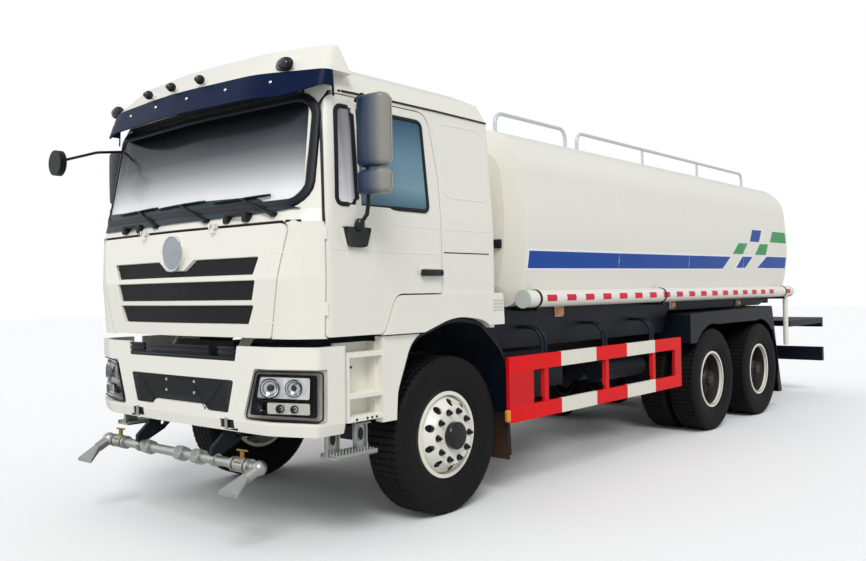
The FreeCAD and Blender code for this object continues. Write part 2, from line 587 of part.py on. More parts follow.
def spray_bar():
    """The front washing bar with a flattened nozzle at each end."""
    y, z = along(BAR_Y), BAR_Z
    half = 860.0
    bar = rod((-half, y, z), (half, y, z), BAR_R)
    unions = [rod((x - 45, y, z), (x + 45, y, z), BAR_R + 14) for x in (-330.0, 60.0, 250.0, 700.0, -700.0)]
    ends = []
    tip_y = along(-FRONT_REACH)
    for side in (-1, 1):
        x = side * half
        elbow = Part.makeSphere(BAR_R + 16, V(x, y, z))
        neck = rod((x, y, z), (x - side * 12, y - 90, z - 45), BAR_R + 4)
        mouth = outline([(-95, -12, 11.0), (95, -12, 11.0), (95, 12, 11.0), (-95, 12, 11.0)],
                        lambda p: V(x - side * 30 + p.x, tip_y, z - 118 + p.y))
        root = outline([(-32, -32, 31.0), (32, -32, 31.0), (32, 32, 31.0), (-32, 32, 31.0)],
                       lambda p: V(x - side * 12 + p.x, y - 88, z - 44 + p.y))
        nozzle = Part.makeLoft([root, mouth], True, True)
        ends.append(fused(elbow, neck, nozzle))
    return fused(bar, *unions, *ends)


# ---------------------------------------------------------------- chassis
def rail():
    profile = [(RAIL_IN, RAIL_BOTTOM, 0), (RAIL_OUT, RAIL_BOTTOM, 0), (RAIL_OUT, RAIL_TOP, 0), (RAIL_IN, RAIL_TOP, 0),
               (RAIL_IN, RAIL_TOP - RAIL_T, 0), (RAIL_OUT - RAIL_T, RAIL_TOP - RAIL_T, 0),
               (RAIL_OUT - RAIL_T, RAIL_BOTTOM + RAIL_T, 0), (RAIL_IN, RAIL_BOTTOM + RAIL_T, 0)]
    return front_prism(profile, along(RAIL_FRONT), along(RAIL_REAR))


CROSSMEMBERS = (2000.0, 2900.0, 3700.0, 5075.0, 6500.0, 8250.0)
MEMBER_HALF = 45.0
CAB_POST_Y = (300.0, 390.0)
OUTRIGGER_HALF, OUTRIGGER_Z = 30.0, (930.0, 1000.0)
FRONT_PLATE_T, FRONT_PLATE_DROP = 25.0, 60.0
TILT_BRACKETS_X = ((322.0, 350.0), (410.0, 436.0))
ARM_NOTCH_X, ARM_NOTCH_Z = (354.0, 406.0), 1000.0
TRUNNION_Z, TRUNNION_R, TRUNNION_END = 440.0, 45.0, 565.0
TRUNNION_PLATE_T, TRUNNION_PLATE_HALF, TRUNNION_PLATE_DROP = 32.0, 140.0, 60.0


def frame_rails():
    """The two channel rails."""
    return both_sides(rail())


def cross_members():
    """Channels between the rails, cab posts and step outriggers on them, and the bogie's trunnion."""
    web = RAIL_OUT - RAIL_T
    pieces = [box(-web, web, along(y) - MEMBER_HALF, along(y) + MEMBER_HALF, RAIL_BOTTOM + RAIL_T, RAIL_TOP - RAIL_T)
              for y in CROSSMEMBERS]
    bogie_y = (AXLES["middle"] + AXLES["rear"]) / 2
    trunnion = [rod((-TRUNNION_END, bogie_y, TRUNNION_Z), (TRUNNION_END, bogie_y, TRUNNION_Z), TRUNNION_R)]
    for side in (-1, 1):
        x0, x1 = sorted((side * RAIL_IN, side * RAIL_OUT))
        pieces.append(box(x0, x1, along(CAB_POST_Y[0]), along(CAB_POST_Y[1]), RAIL_TOP, CAB_FLOOR - SEAT_GAP))
        x0, x1 = sorted((side * RAIL_OUT, side * STEP_PANEL_X[0]))
        pieces.append(box(x0, x1, along(OUTRIGGER_Y) - OUTRIGGER_HALF, along(OUTRIGGER_Y) + OUTRIGGER_HALF,
                          *OUTRIGGER_Z))
        x0, x1 = sorted((side * RAIL_OUT, side * (RAIL_OUT + TRUNNION_PLATE_T)))
        trunnion.append(box(x0, x1, bogie_y - TRUNNION_PLATE_HALF, bogie_y + TRUNNION_PLATE_HALF,
                            TRUNNION_Z - TRUNNION_PLATE_DROP, RAIL_TOP - TRUNNION_PLATE_DROP))
    return Part.makeCompound([*pieces, fused(*trunnion)])


def front_cross_member():
    """The plate across the rails' front ends with the cab's hinge brackets and the tow plates."""
    y, z = along(TILT_Y), TILT_Z
    face = along(RAIL_FRONT - FRONT_PLATE_T)
    pieces = [box(-RAIL_OUT, RAIL_OUT, face, along(RAIL_FRONT), RAIL_BOTTOM - FRONT_PLATE_DROP, RAIL_TOP)]
    under = BAR_Z + BAR_R + SEAT_GAP
    for side in (-1, 1):
        for near, far in TILT_BRACKETS_X:
            x0, x1 = sorted((side * near, side * far))
            pieces.append(side_prism([(y - 45, z - 60, 20.0), (face + 5, RAIL_TOP - 200, 0),
                                      (face + 5, RAIL_TOP, 0), (y - 45, z + 45, 30.0)], x0, x1))
        pieces.append(rod((side * TILT_BRACKETS_X[0][0], y, z), (side * TILT_BRACKETS_X[1][1], y, z), TILT_PIN_R))
        x0, x1 = sorted((side * (TOW_X - 18), side * (TOW_X + 14)))
        plate = side_prism([(along(BAR_Y - 35), under, 0), (along(BAR_Y + 35), under, 0),
                            (along(TOW_Y + 10), TOW_Z - 45, 30.0), (along(TOW_Y + 60), TOW_Z, 30.0),
                            (along(TOW_Y + 60), RAIL_BOTTOM - SEAT_GAP, 0), (face + 5, RAIL_BOTTOM - SEAT_GAP, 0),
                            (face + 5, RAIL_BOTTOM + 60, 0), (along(TOW_Y), RAIL_BOTTOM + 60, 0),
                            (along(TOW_Y - 60), 705.0, 20.0), (along(BAR_Y - 35), under + 45, 20.0)], x0, x1)
        hole = rod((x0 - 5, along(TOW_Y), TOW_Z), (x1 + 5, along(TOW_Y), TOW_Z), TOW_BORE_R)
        pieces.append(plate.cut(hole))
    notch = box(*ARM_NOTCH_X, face - 5, along(RAIL_FRONT) + 5, ARM_NOTCH_Z, RAIL_TOP + 5)
    return fused(*pieces).cut(notch).cut(mirrored(notch))


def engine():
    """Engine, gearbox and radiator as plain blocks at their real place."""
    block = box(-290, 290, along(-950), along(180), 640.0, 1200.0)
    web = RAIL_OUT - RAIL_T
    mounts = [box(-web, web, along(y), along(y + 120), 880.0, 960.0) for y in (-800, 20)]
    gearbox = side_prism([(along(180), 660.0, 0), (along(180), 1100.0, 0), (along(420), 1000.0, 0),
                          (along(900), 950.0, 0), (along(900), 680.0, 0)], -200, 200)
    radiator = box(-315, 315, along(-1170), along(-1080), 660.0, 1225.0)
    ducts = box(-250, 250, along(-1080), along(-950), 760.0, 1160.0)
    return fused(block, *mounts, gearbox, radiator, ducts)


def front_axle():
    """The dropped beam with an eye at each end and the kingpin through it."""
    y = AXLES["front"]
    beam = front_prism([(-780.0, 490.0, 40.0), (-560.0, 420.0, 60.0), (560.0, 420.0, 60.0), (780.0, 490.0, 40.0),
                        (KINGPIN_X - 20, 490.0, 0), (KINGPIN_X - 20, 596.0, 0), (740.0, 596.0, 60.0),
                        (540.0, 530.0, 60.0), (-540.0, 530.0, 60.0), (-740.0, 596.0, 60.0),
                        (20 - KINGPIN_X, 596.0, 0), (20 - KINGPIN_X, 490.0, 0)], y - 48, y + 48)
    pieces = [beam]
    for x in (-KINGPIN_X, KINGPIN_X):
        pieces.append(rod((x, y, WHEEL_Z - 58), (x, y, WHEEL_Z + 58), 54.0))
        pieces.append(rod((x, y, WHEEL_Z - 112), (x, y, WHEEL_Z + 112), KINGPIN_R))
    return fused(*pieces)


def knuckle():
    """The left steering knuckle: two ears on the kingpin, a plate and the stub axle."""
    y = AXLES["front"]
    x = KINGPIN_X
    pieces = [box(x + 60, x + 92, y - 70, y + 70, WHEEL_Z - 112, WHEEL_Z + 112)]
    for z in (WHEEL_Z - 112, WHEEL_Z + 64):
        pieces.append(rod((x, y, z), (x, y, z + 48), 48.0))
        pieces.append(box(x, x + 70, y - 44, y + 44, z, z + 48))
    pieces.append(rod((x + 90, y, WHEEL_Z), (FRONT_WHEEL_X + 132, y, WHEEL_Z), HUB_BORE_FRONT))
    solid = fused(*pieces)
    return solid.cut(rod((x, y, WHEEL_Z - 130), (x, y, WHEEL_Z + 130), KINGPIN_R + RUNNING_GAP))


def tyre(x, y):
    half, bead = TYRE_W / 2, RIM_HALF - 0.5
    inner = BEAD_R + SEAT_GAP
    profile = [(-bead, inner, 0), (-bead, FLANGE_R + 6, 0), (-half, 385.0, 0), (-half + 4, 505.0, 0),
               (-half + 26, TYRE_R, 0), (half - 26, TYRE_R, 0), (half - 4, 505.0, 0), (half, 385.0, 0),
               (bead, FLANGE_R + 6, 0), (bead, inner, 0)]
    return turned([(x + u, r, c) for u, r, c in profile], y, WHEEL_Z)


def rim(x, y, facing):
    """A drop-centre rim whose disc bulges towards facing, +1 or -1, with ten hand holes."""
    low = BEAD_R - RIM_WALL
    flange = RIM_HALF + FLANGE_T
    barrel = [(-flange, low, 0), (-flange, FLANGE_R, 5.0), (-RIM_HALF, FLANGE_R, 5.0), (-RIM_HALF, BEAD_R, 0),
              (RIM_HALF, BEAD_R, 0), (RIM_HALF, FLANGE_R, 5.0), (flange, FLANGE_R, 5.0), (flange, low, 0)]
    face = DISC_OFFSET
    disc = [(40.0, low + 2, 0), (40.0, low - 8, 20.0), (105.0, 238.0, 20.0), (face - DISC_T, 195.0, 20.0),
            (face - DISC_T, 60.0, 0), (face, 60.0, 0), (face, 199.0, 20.0), (118.0, 247.0, 20.0), (56.0, low + 2, 0)]
    solid = turned([(x + facing * u, r, c) for u, r, c in barrel], y, WHEEL_Z)
    solid = solid.fuse(turned([(x + facing * u, r, c) for u, r, c in disc], y, WHEEL_Z))
    holes = []
    for i in range(HAND_HOLES):
        angle = 2 * math.pi * (i + 0.5) / HAND_HOLES
        cy, cz = y + HAND_HOLE_PCR * math.cos(angle), WHEEL_Z + HAND_HOLE_PCR * math.sin(angle)
        holes.append(rod((x + facing * 60, cy, cz), (x + facing * (face + 20), cy, cz), HAND_HOLE_R))
    return solid.cut(holes)


def front_wheel():
    y, x = AXLES["front"], FRONT_WHEEL_X
    hub = fused(rod((x - 28, y, WHEEL_Z), (x + 70, y, WHEEL_Z), 205.0),
                rod((x + 60, y, WHEEL_Z), (x + DISC_OFFSET - DISC_T, y, WHEEL_Z), 130.0),
                rod((x + 100, y, WHEEL_Z), (x + DISC_OFFSET + 32, y, WHEEL_Z), 92.0))
    bore = rod((x - 40, y, WHEEL_Z), (x + 132 + RUNNING_GAP, y, WHEEL_Z), HUB_BORE_FRONT + RUNNING_GAP)
    return tyre(x, y), fused(rim(x, y, 1), hub.cut(bore))


def twin_wheels(axle):
    """Two wheels back to back on one hub."""
    y, middle = AXLES[axle], TRACK_REAR / 2
    hub = fused(rod((middle - 310, y, WHEEL_Z), (middle - 160, y, WHEEL_Z), 205.0),
                rod((middle - 170, y, WHEEL_Z), (middle + 10, y, WHEEL_Z), 135.0),
                rod((middle, y, WHEEL_Z), (middle + 190, y, WHEEL_Z), 105.0))
    bore = rod((middle - 320, y, WHEEL_Z), (middle + 150 + RUNNING_GAP, y, WHEEL_Z), HUB_BORE_REAR + RUNNING_GAP)
    rims = fused(rim(TWIN_IN_X, y, 1), rim(TWIN_OUT_X, y, -1), hub.cut(bore))
    return Part.makeCompound([tyre(TWIN_IN_X, y), tyre(TWIN_OUT_X, y)]), rims


def rear_axles():
    """Two drive axle casings with their stub axles, and the propeller shafts that join them."""
    pieces = []
    middle = TRACK_REAR / 2
    for name in ("middle", "rear"):
        y = AXLES[name]
        pieces.append(rod((-565.0, y, WHEEL_Z), (565.0, y, WHEEL_Z), 78.0))
        pieces.append(rod((-middle - 150, y, WHEEL_Z), (middle + 150, y, WHEEL_Z), HUB_BORE_REAR))
        pieces.append(Part.makeSphere(205.0, V(0, y, WHEEL_Z)))
        pieces.append(rod((0, y - 330, WHEEL_Z + 20), (0, y + 250, WHEEL_Z + 20), 95.0))
    front_end = (0, along(900), 800.0)
    nose = (0, AXLES["middle"] - 330, WHEEL_Z + 20)
    pieces.append(rod(front_end, (0, front_end[1] + 60, 800.0), 80.0))
    pieces.append(rod((0, front_end[1] + 40, 800.0), (0, nose[1] + 10, nose[2]), 48.0))
    pieces.append(rod((0, AXLES["middle"] + 240, WHEEL_Z + 20), (0, AXLES["rear"] - 320, WHEEL_Z + 20), 48.0))
    return fused(*pieces)


def bow(x, width, y, half, low_end, low_middle, high_middle, high_end):
    """A leaf spring pack seen from the side as two shallow arcs, width along X."""
    a = Part.Arc(V(x, y - half, low_end), V(x, y, low_middle), V(x, y + half, low_end)).toShape()
    b = Part.LineSegment(V(x, y + half, low_end), V(x, y + half, high_end)).toShape()
    c = Part.Arc(V(x, y + half, high_end), V(x, y, high_middle), V(x, y - half, high_end)).toShape()
    d = Part.LineSegment(V(x, y - half, high_end), V(x, y - half, low_end)).toShape()
    return Part.Face(Part.Wire([a, b, c, d])).extrude(V(width, 0, 0))


def leaf_springs():
    """The front springs under the rails and the bogie's springs over its trunnion."""
    y = AXLES["front"]
    front = bow(RAIL_IN, RAIL_FLANGE, y, 780.0, 700.0, 556.0, 640.0, 735.0)
    pad = box(RAIL_IN, RAIL_OUT, y - 75, y + 75, 530.0, 575.0)
    hangers = [box(RAIL_IN, RAIL_OUT, y + s * 760 - 30, y + s * 760 + 30, 690.0, RAIL_BOTTOM) for s in (-1, 1)]
    front = fused(front, pad, *hangers)
    middle = (AXLES["middle"] + AXLES["rear"]) / 2
    rear = bow(466.0, 88.0, middle, BOGIE / 2 + 90, 640.0, 655.0, 800.0, 690.0)
    saddle = box(466.0, 554.0, middle - 120, middle + 120, TRUNNION_Z + TRUNNION_R + SEAT_GAP, 700.0)
    seats = [box(466.0, 554.0, middle + s * BOGIE / 2 - 55, middle + s * BOGIE / 2 + 55,
                 WHEEL_Z + 78 + SEAT_GAP, 660.0) for s in (-1, 1)]
    return Part.makeCompound([front, mirrored(front), *both_sides(fused(rear, saddle, *seats)).Solids])


# ---------------------------------------------------------------- tank and what it carries
TANK_FRONT, TANK_REAR = 900.0, 6900.0
TANK_BOTTOM = 1400.0
#        x, height, corner radius: right half of the tank's section, from the bottom up
TANK_HALF = [(1110.0, TANK_BOTTOM, 170.0), (1218.0, 1920.0, 1800.0), (1140.0, 2790.0, 400.0)]
TANK_CROWN = (2880.0, 2500.0)
HEAD_DEPTH = 45.0
MANHOLE_Y, MANHOLE_R, COLLAR_WALL, COLLAR_TOP, NECK_DEPTH = 3900.0, 230.0, 20.0, 2945.0, 250.0
LID_T, LID_HINGE_BACK = 22.0, 295.0
OUTLET_X, OUTLET_Z, OUTLET_R, OUTLET_L = 640.0, 1645.0, 50.0, 110.0


def tank_section(y, shrink=0.0):
    right = [(u - shrink, v + (shrink if v < 1500 else -shrink if v > 2500 else 0), max(r - shrink, 20.0))
             for u, v, r in TANK_HALF]
    left = [(-u, v, r) for u, v, r in reversed(right)]
    return outline(right + [(0, TANK_CROWN[0] - shrink, TANK_CROWN[1])] + left, on_front(y))


def tank():
    """The closed water tank with dished ends, a filler neck and the rear outlet."""
    y0, y1 = along(TANK_FRONT), along(TANK_REAR)
    barrel = Part.makeLoft([tank_section(y0), tank_section(y1)], True, True)
    front_head = Part.makeLoft([tank_section(y0 - HEAD_DEPTH, 160.0), tank_section(y0)], True, True)
    rear_head = Part.makeLoft([tank_section(y1), tank_section(y1 + HEAD_DEPTH, 160.0)], True, True)
    y = along(MANHOLE_Y)
    collar = rod((0, y, 2780.0), (0, y, COLLAR_TOP), MANHOLE_R + COLLAR_WALL)
    neck = rod((0, y, COLLAR_TOP - NECK_DEPTH), (0, y, COLLAR_TOP + 5), MANHOLE_R)
    hinge_y, hinge_z = y + LID_HINGE_BACK, COLLAR_TOP + 8
    ears = [box(x, x + 16, hinge_y - 26, hinge_y + 18, COLLAR_TOP - 110, hinge_z + 16) for x in (-58.0, 42.0)]
    pin = rod((-58.0, hinge_y, hinge_z), (58.0, hinge_y, hinge_z), 8.0)
    outlet = rod((OUTLET_X, y1 + 20, OUTLET_Z), (OUTLET_X, y1 + HEAD_DEPTH + OUTLET_L, OUTLET_Z), OUTLET_R)
    return fused(barrel, front_head, rear_head, collar, *ears, pin, outlet).cut(neck)


def manhole_lid():
    y = along(MANHOLE_Y)
    hinge_y, hinge_z = y + LID_HINGE_BACK, COLLAR_TOP + 8
    base = COLLAR_TOP + SEAT_GAP
    lid = rod((0, y, base), (0, y, base + LID_T), MANHOLE_R + COLLAR_WALL + 12)
    arm = box(-36.0, 36.0, y + 100, hinge_y, base + 4, base + LID_T)
    eye = rod((-36.0, hinge_y, hinge_z), (36.0, hinge_y, hinge_z), 16.0)
    handle = bent_tube([(-60.0, y - 120, base + LID_T - 3), (-60.0, y - 120, base + LID_T + 50),
                        (60.0, y - 120, base + LID_T + 50), (60.0, y - 120, base + LID_T - 3)], 9.0, 20.0)
    lid = fused(lid, arm, eye, handle)
    return lid.cut(rod((-60.0, hinge_y, hinge_z), (60.0, hinge_y, hinge_z), 8.0 + RUNNING_GAP))


BODY_FRONT = 640.0
SUBFRAME_TOP = 1180.0
SADDLES = (960.0, 2100.0, 3400.0, 4700.0, 6000.0, 6760.0)
SADDLE_FOOT, SADDLE_ARM_Z = 520.0, 1315.0
APRON_X, APRON_T, APRON_Z = 980.0, 18.0, 1075.0
TUBE_X, TUBE_Z, TUBE_R = 1190.0, 1462.0, 68.0
TUBE_Y = (860.0, 6950.0)
STRAPS = (1015.0, 3200.0, 6670.0)


def tank_bearers():
    """Two long bearers on the rails."""
    return both_sides(box(RAIL_IN, RAIL_OUT, along(BODY_FRONT), along(TANK_REAR), RAIL_TOP, SUBFRAME_TOP))


def tank_saddles():
    """Saddles across the bearers under the tank, and the arms that hold the hose tubes."""
    pieces = []
    for y in SADDLES:
        foot = box(-SADDLE_FOOT, SADDLE_FOOT, along(y) - 40, along(y) + 40, SUBFRAME_TOP, SADDLE_ARM_Z)
        pieces.append(fused(foot, box(-APRON_X, APRON_X, along(y) - 40, along(y) + 40, SADDLE_ARM_Z, TANK_BOTTOM)))
    for side in (-1, 1):
        for y in STRAPS:
            x0, x1 = sorted((side * (APRON_X + APRON_T), side * (TUBE_X + 40)))
            pieces.append(box(x0, x1, along(y) - 20, along(y) + 20, TUBE_Z - TUBE_R - 26, TUBE_Z - TUBE_R - SEAT_GAP))
    return Part.makeCompound(pieces)


def side_valances():
    """The dark plate along each side between the tank and the guards."""
    top = TANK_BOTTOM - 4
    corners = [(BODY_FRONT, APRON_Z), (3650.0, APRON_Z), (3760.0, 1295.0), (6400.0, 1295.0), (6860.0, top),
               (BODY_FRONT, top)]
    return both_sides(side_prism([(along(y), z, 0) for y, z in corners], APRON_X, APRON_X + APRON_T))


def hose_tubes():
    """A capped tube for suction hose along each side, with a stand pipe under its rear end."""
    tube = rod((TUBE_X, along(TUBE_Y[0]), TUBE_Z), (TUBE_X, along(TUBE_Y[1]), TUBE_Z), TUBE_R)
    pipe = rod((TUBE_X, along(6830), 770.0), (TUBE_X, along(6830), TUBE_Z), 32.0)
    return both_sides(fused(tube, pipe))


RAILS_X, RAILS_R = 850.0, 16.0


def tank_rails():
    """Low hand rails along the tank's top."""
    top = 2965.0
    foot = 2700.0
    loops = []
    for start, end, posts in ((1000.0, 2060.0, ()), (2260.0, 6290.0, (3560.0, 4920.0))):
        loop = bent_tube([(RAILS_X, along(start), foot), (RAILS_X, along(start), top),
                          (RAILS_X, along(end), top), (RAILS_X, along(end), foot)], RAILS_R, 90.0)
        uprights = [rod((RAILS_X, along(y), foot), (RAILS_X, along(y), top), RAILS_R - 3) for y in posts]
        loops.append(fused(loop, *uprights))
    rails = both_sides(Part.makeCompound(loops))
    return rails.cut(Part.makeLoft([tank_section(along(TANK_FRONT)), tank_section(along(TANK_REAR))], True, True))


def tank_ladder():
    """The ladder from the rear platform over the tank's rear edge."""
    ladder = []
    y = along(TANK_REAR + HEAD_DEPTH + 95)
    for x in (-700.0, -320.0):
        ladder.append(bent_tube([(x, y, DECK_TOP + SEAT_GAP), (x, y, 3010.0), (x, y - 420, 3010.0),
                                 (x, y - 420, 2770.0)], 18.0, 110.0))
    for i in range(6):
        z = DECK_TOP + 260 + i * 290
        ladder.append(rod((-700.0, y, z), (-320.0, y, z), 13.0))
    stays = [rod((x, y, z), (x, along(TANK_REAR + HEAD_DEPTH) + SEAT_GAP, z), 12.0)
             for x in (-700.0, -320.0) for z in (1700.0, 2450.0)]
    frame = fused(*ladder, *stays)
    frame = frame.cut(Part.makeLoft([tank_section(along(TANK_FRONT)), tank_section(along(TANK_REAR))], True, True))
    frame = frame.cut(Part.makeLoft([tank_section(along(TANK_REAR)),
                                     tank_section(along(TANK_REAR) + HEAD_DEPTH, 160.0)], True, True))
    return frame


# ---------------------------------------------------------------- side guards and rear mudguards
GUARD_X = (1212.0, 1240.0)
GUARD_Y, GUARD_Z = (594.0, 3545.0), (548.0, 1036.0)
GUARD_RAIL = 116.0
GUARD_HOLE = (915.0, 3402.0)
GUARD_POSTS = (1105.0, 2065.0, 2960.0)
ARM_Z = 1235.0


def side_guards():
    """A plate frame along each side on three pairs of bent arms from the valance."""
    x0, x1 = GUARD_X
    frame = box(x0, x1, along(GUARD_Y[0]), along(GUARD_Y[1]), *GUARD_Z)
    frame = frame.cut(box(x0 - 5, x1 + 5, along(GUARD_HOLE[0]), along(GUARD_HOLE[1]),
                          GUARD_Z[0] + GUARD_RAIL, GUARD_Z[1] - GUARD_RAIL))
    pieces = [frame]
    for y in GUARD_POSTS:
        pieces.append(box(x0 - 6, x1 - 8, along(y) - 30, along(y) + 30, GUARD_Z[0] + 20, GUARD_Z[1] - 20))
        for offset in (-26.0, 26.0):
            pieces.append(bent_tube([(APRON_X + APRON_T + SEAT_GAP, along(y) + offset, ARM_Z),
                                     (x0 - 4, along(y) + offset, ARM_Z), (x0 - 4, along(y) + offset, 700.0)],
                                    13.0, 120.0))
    return both_sides(fused(*pieces))


REAR_GUARD_X = (585.0, 1236.0)


def rear_mudguards():
    """One folded cover over each pair of rear wheels, with a valance and rear flap."""
    x0, x1 = REAR_GUARD_X
    skin = 18.0
    closed = [(along(3790.0), 300.0, 0), (along(3790.0), 1262.0, 25.0), (along(6190.0), 1290.0, 40.0),
              (along(6495.0), 210.0, 0), (along(6300.0), 210.0, 0)]
    face = Part.Face(outline(closed, on_side(x0)))
    inner = Part.Face(face.makeOffset2D(-skin).OuterWire)
    block = face.extrude(V(x1 - x0, 0, 0)).cut(inner.extrude(V(x1 - x0 - skin, 0, 0)))
    block = block.cut(box(x0 - 5, x1 + 5, along(3700), along(6050), 100.0, 955.0))
    for name in ("middle", "rear"):
        block = block.cut(rod((x0 - 5, AXLES[name], WHEEL_Z), (x1 + 5, AXLES[name], WHEEL_Z), TYRE_R + 55))
    block = block.cut(box(x1 - skin - 1, x1 + 5, AXLES["middle"], AXLES["rear"], 900.0, 1130.0))
    block = block.cut(side_prism([(along(5700), 100.0, 0), (along(5700), 1000.0, 0), (along(6215), 1000.0, 0),
                                  (along(6415), 100.0, 0)], x0 - 5, x1 + 5))
    body = max(block.Solids, key=lambda s: s.Volume)
    hangers = [rod((700.0, along(y), 1270.0), (700.0, along(y), SADDLE_ARM_Z - SEAT_GAP), 14.0)
               for y in (4700.0, 6000.0)]
    return both_sides(fused(body, *hangers))


# ---------------------------------------------------------------- rear end
DECK_TOP = 1075.0
DECK_Y = (6960.0, 8385.0)
DECK_X = 1200.0


def rear_platform():
    """The working platform behind the tank: plate, side angles and the rear beam."""
    deck = box(-DECK_X, DECK_X, along(DECK_Y[0]), along(DECK_Y[1]), RAIL_TOP, DECK_TOP)
    beam = box(-DECK_X, DECK_X, along(RAIL_REAR), along(DECK_Y[1]), 940.0, RAIL_TOP + 5)
    edges = [box(x, x + 20, along(DECK_Y[0]), along(DECK_Y[1]), 995.0, RAIL_TOP + 5) for x in (-DECK_X, DECK_X - 20)]
    ribs = [box(x0, x1, along(y) - 20, along(y) + 20, 1000.0, RAIL_TOP + 5)
            for y in (7100.0, 7700.0) for x0, x1 in ((-DECK_X, -RAIL_OUT), (RAIL_OUT, DECK_X))]
    return fused(deck, beam, *edges, *ribs)


def underrun_guard():
    bar = box(-DECK_X, DECK_X, along(8330), along(REAR_REACH), 455.0, 650.0)
    drops = [box(x, x + 80, along(8180), along(8335), 560.0, RAIL_BOTTOM) for x in (RAIL_IN, -RAIL_OUT)]
    return fused(bar, *drops)


def tail_lamps():
    return both_sides(box(830.0, 1160.0, along(DECK_Y[1]), along(REAR_REACH), 958.0, 1056.0))


def side_tanks():
    """Air reservoirs and battery box on the left, fuel tank and silencer on the right."""
    air = []
    for x, z in ((640.0, 760.0), (850.0, 760.0)):
        air.append(rod((x, along(2500), z), (x, along(3350), z), 100.0))
    straps = [box(RAIL_OUT, 870.0, along(y) - 20, along(y) + 20, 860.0, 885.0) for y in (2700.0, 3150.0)]
    battery = fused(box(RAIL_OUT, 930.0, along(800), along(1480), 640.0, 1040.0),
                    box(520.0, 880.0, along(1480), along(1900), 700.0, 960.0))
    fuel = side_prism([(along(1050), 590.0, 70.0), (along(2400), 590.0, 70.0), (along(2400), 1040.0, 70.0),
                       (along(1050), 1040.0, 70.0)], -1010.0, -RAIL_OUT)
    muffler = fused(side_prism([(along(2650), 600.0, 90.0), (along(3350), 600.0, 90.0), (along(3350), 980.0, 90.0),
                                (along(2650), 980.0, 90.0)], -960.0, -RAIL_OUT - 40),
                    box(-RAIL_OUT - 45, -RAIL_OUT, along(2800), along(3200), 820.0, 900.0))
    pump = fused(rod((-60.0, along(2150), 955.0), (-60.0, along(2500), 955.0), 105.0),
                 rod((-60.0, along(2250), 955.0), (-60.0, along(2310), 955.0), 135.0),
                 box(RAIL_T - RAIL_OUT, RAIL_OUT - RAIL_T, along(2350), along(2430), 980.0, 1030.0))
    return {"air_tanks": fused(*air, *straps), "battery_box": battery, "fuel_tank": fuel, "silencer": muffler,
            "water_pump": pump}


# ---------------------------------------------------------------- everything
def wheel_parts():
    parts = {}
    tyre_front, rim_front = front_wheel()
    parts["tyre_front_left"], parts["rim_front_left"] = tyre_front, rim_front
    for axle in ("middle", "rear"):
        parts[f"tyres_{axle}_left"], parts[f"rims_{axle}_left"] = twin_wheels(axle)
    parts["knuckle_left"] = knuckle()
    parts.update({name.replace("left", "right"): mirrored(shape) for name, shape in list(parts.items())})
    return parts


def all_parts():
    parts = {}
    parts.update(cab_parts())
    parts.update(door_parts())
    parts.update(cab_inside())
    parts.update({"cab_roof": roof(), "sun_visor": visor(), "wipers": wipers(),
                  "corner_mirror": front_corner_mirror()})
    parts.update(bumper_parts())
    parts.update({"step_panels": step_panels(), "lower_steps": lower_steps(), "front_mudguards": front_mudguards(),
                  "spray_bar": spray_bar(), "frame_rails": frame_rails(), "engine": engine(),
                  "cross_members": cross_members(), "front_cross_member": front_cross_member(),
                  "front_axle": front_axle(), "rear_axles": rear_axles(), "leaf_springs": leaf_springs(),
                  "tank": tank(), "manhole_lid": manhole_lid(), "tank_bearers": tank_bearers(),
                  "tank_saddles": tank_saddles(), "side_valances": side_valances(), "tank_ladder": tank_ladder(),
                  "hose_tubes": hose_tubes(), "tank_rails": tank_rails(), "side_guards": side_guards(),
                  "rear_mudguards": rear_mudguards(), "rear_platform": rear_platform(),
                  "underrun_guard": underrun_guard(), "tail_lamps": tail_lamps()})
    parts.update(side_tanks())
    parts.update(wheel_parts())
    return parts


os.makedirs("parts", exist_ok=True)
for part_name, part_shape in all_parts().items():
    solids = part_shape.Solids
    whole = solids[0] if len(solids) == 1 else Part.makeCompound(solids)
    whole.exportStep(f"parts/{part_name}.step")
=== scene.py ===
import math

import bmesh
import bpy
from mathutils import Matrix, Vector
from mathutils.bvhtree import BVHTree


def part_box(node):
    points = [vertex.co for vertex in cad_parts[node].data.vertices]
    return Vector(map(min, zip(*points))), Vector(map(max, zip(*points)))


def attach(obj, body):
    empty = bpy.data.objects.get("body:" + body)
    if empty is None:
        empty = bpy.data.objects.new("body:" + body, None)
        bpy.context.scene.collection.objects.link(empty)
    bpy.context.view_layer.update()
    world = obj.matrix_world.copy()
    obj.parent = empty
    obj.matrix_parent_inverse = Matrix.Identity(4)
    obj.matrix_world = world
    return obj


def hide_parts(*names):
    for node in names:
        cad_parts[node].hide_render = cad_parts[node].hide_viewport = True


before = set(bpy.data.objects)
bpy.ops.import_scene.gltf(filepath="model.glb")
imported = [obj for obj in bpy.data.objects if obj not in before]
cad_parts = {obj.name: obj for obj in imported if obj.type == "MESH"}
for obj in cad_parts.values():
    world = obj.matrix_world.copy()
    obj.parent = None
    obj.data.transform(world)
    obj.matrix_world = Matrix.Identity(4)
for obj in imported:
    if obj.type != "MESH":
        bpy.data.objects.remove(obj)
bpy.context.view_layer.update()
scene = bpy.context.scene
scene.view_settings.view_transform = "Standard"

# ---------------- where things are
# Lengths along the truck are measured rearwards from the front axle, as its maker does.
tyre_low, tyre_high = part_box("tyre_front_left")
FRONT_AXLE = (tyre_low.y + tyre_high.y) / 2
WHEEL_HEIGHT = (tyre_low.z + tyre_high.z) / 2


def at(x, aft, z):
    """A point x to the truck's left, aft behind the front axle and z above the ground."""
    return Vector((x, FRONT_AXLE + aft, z))


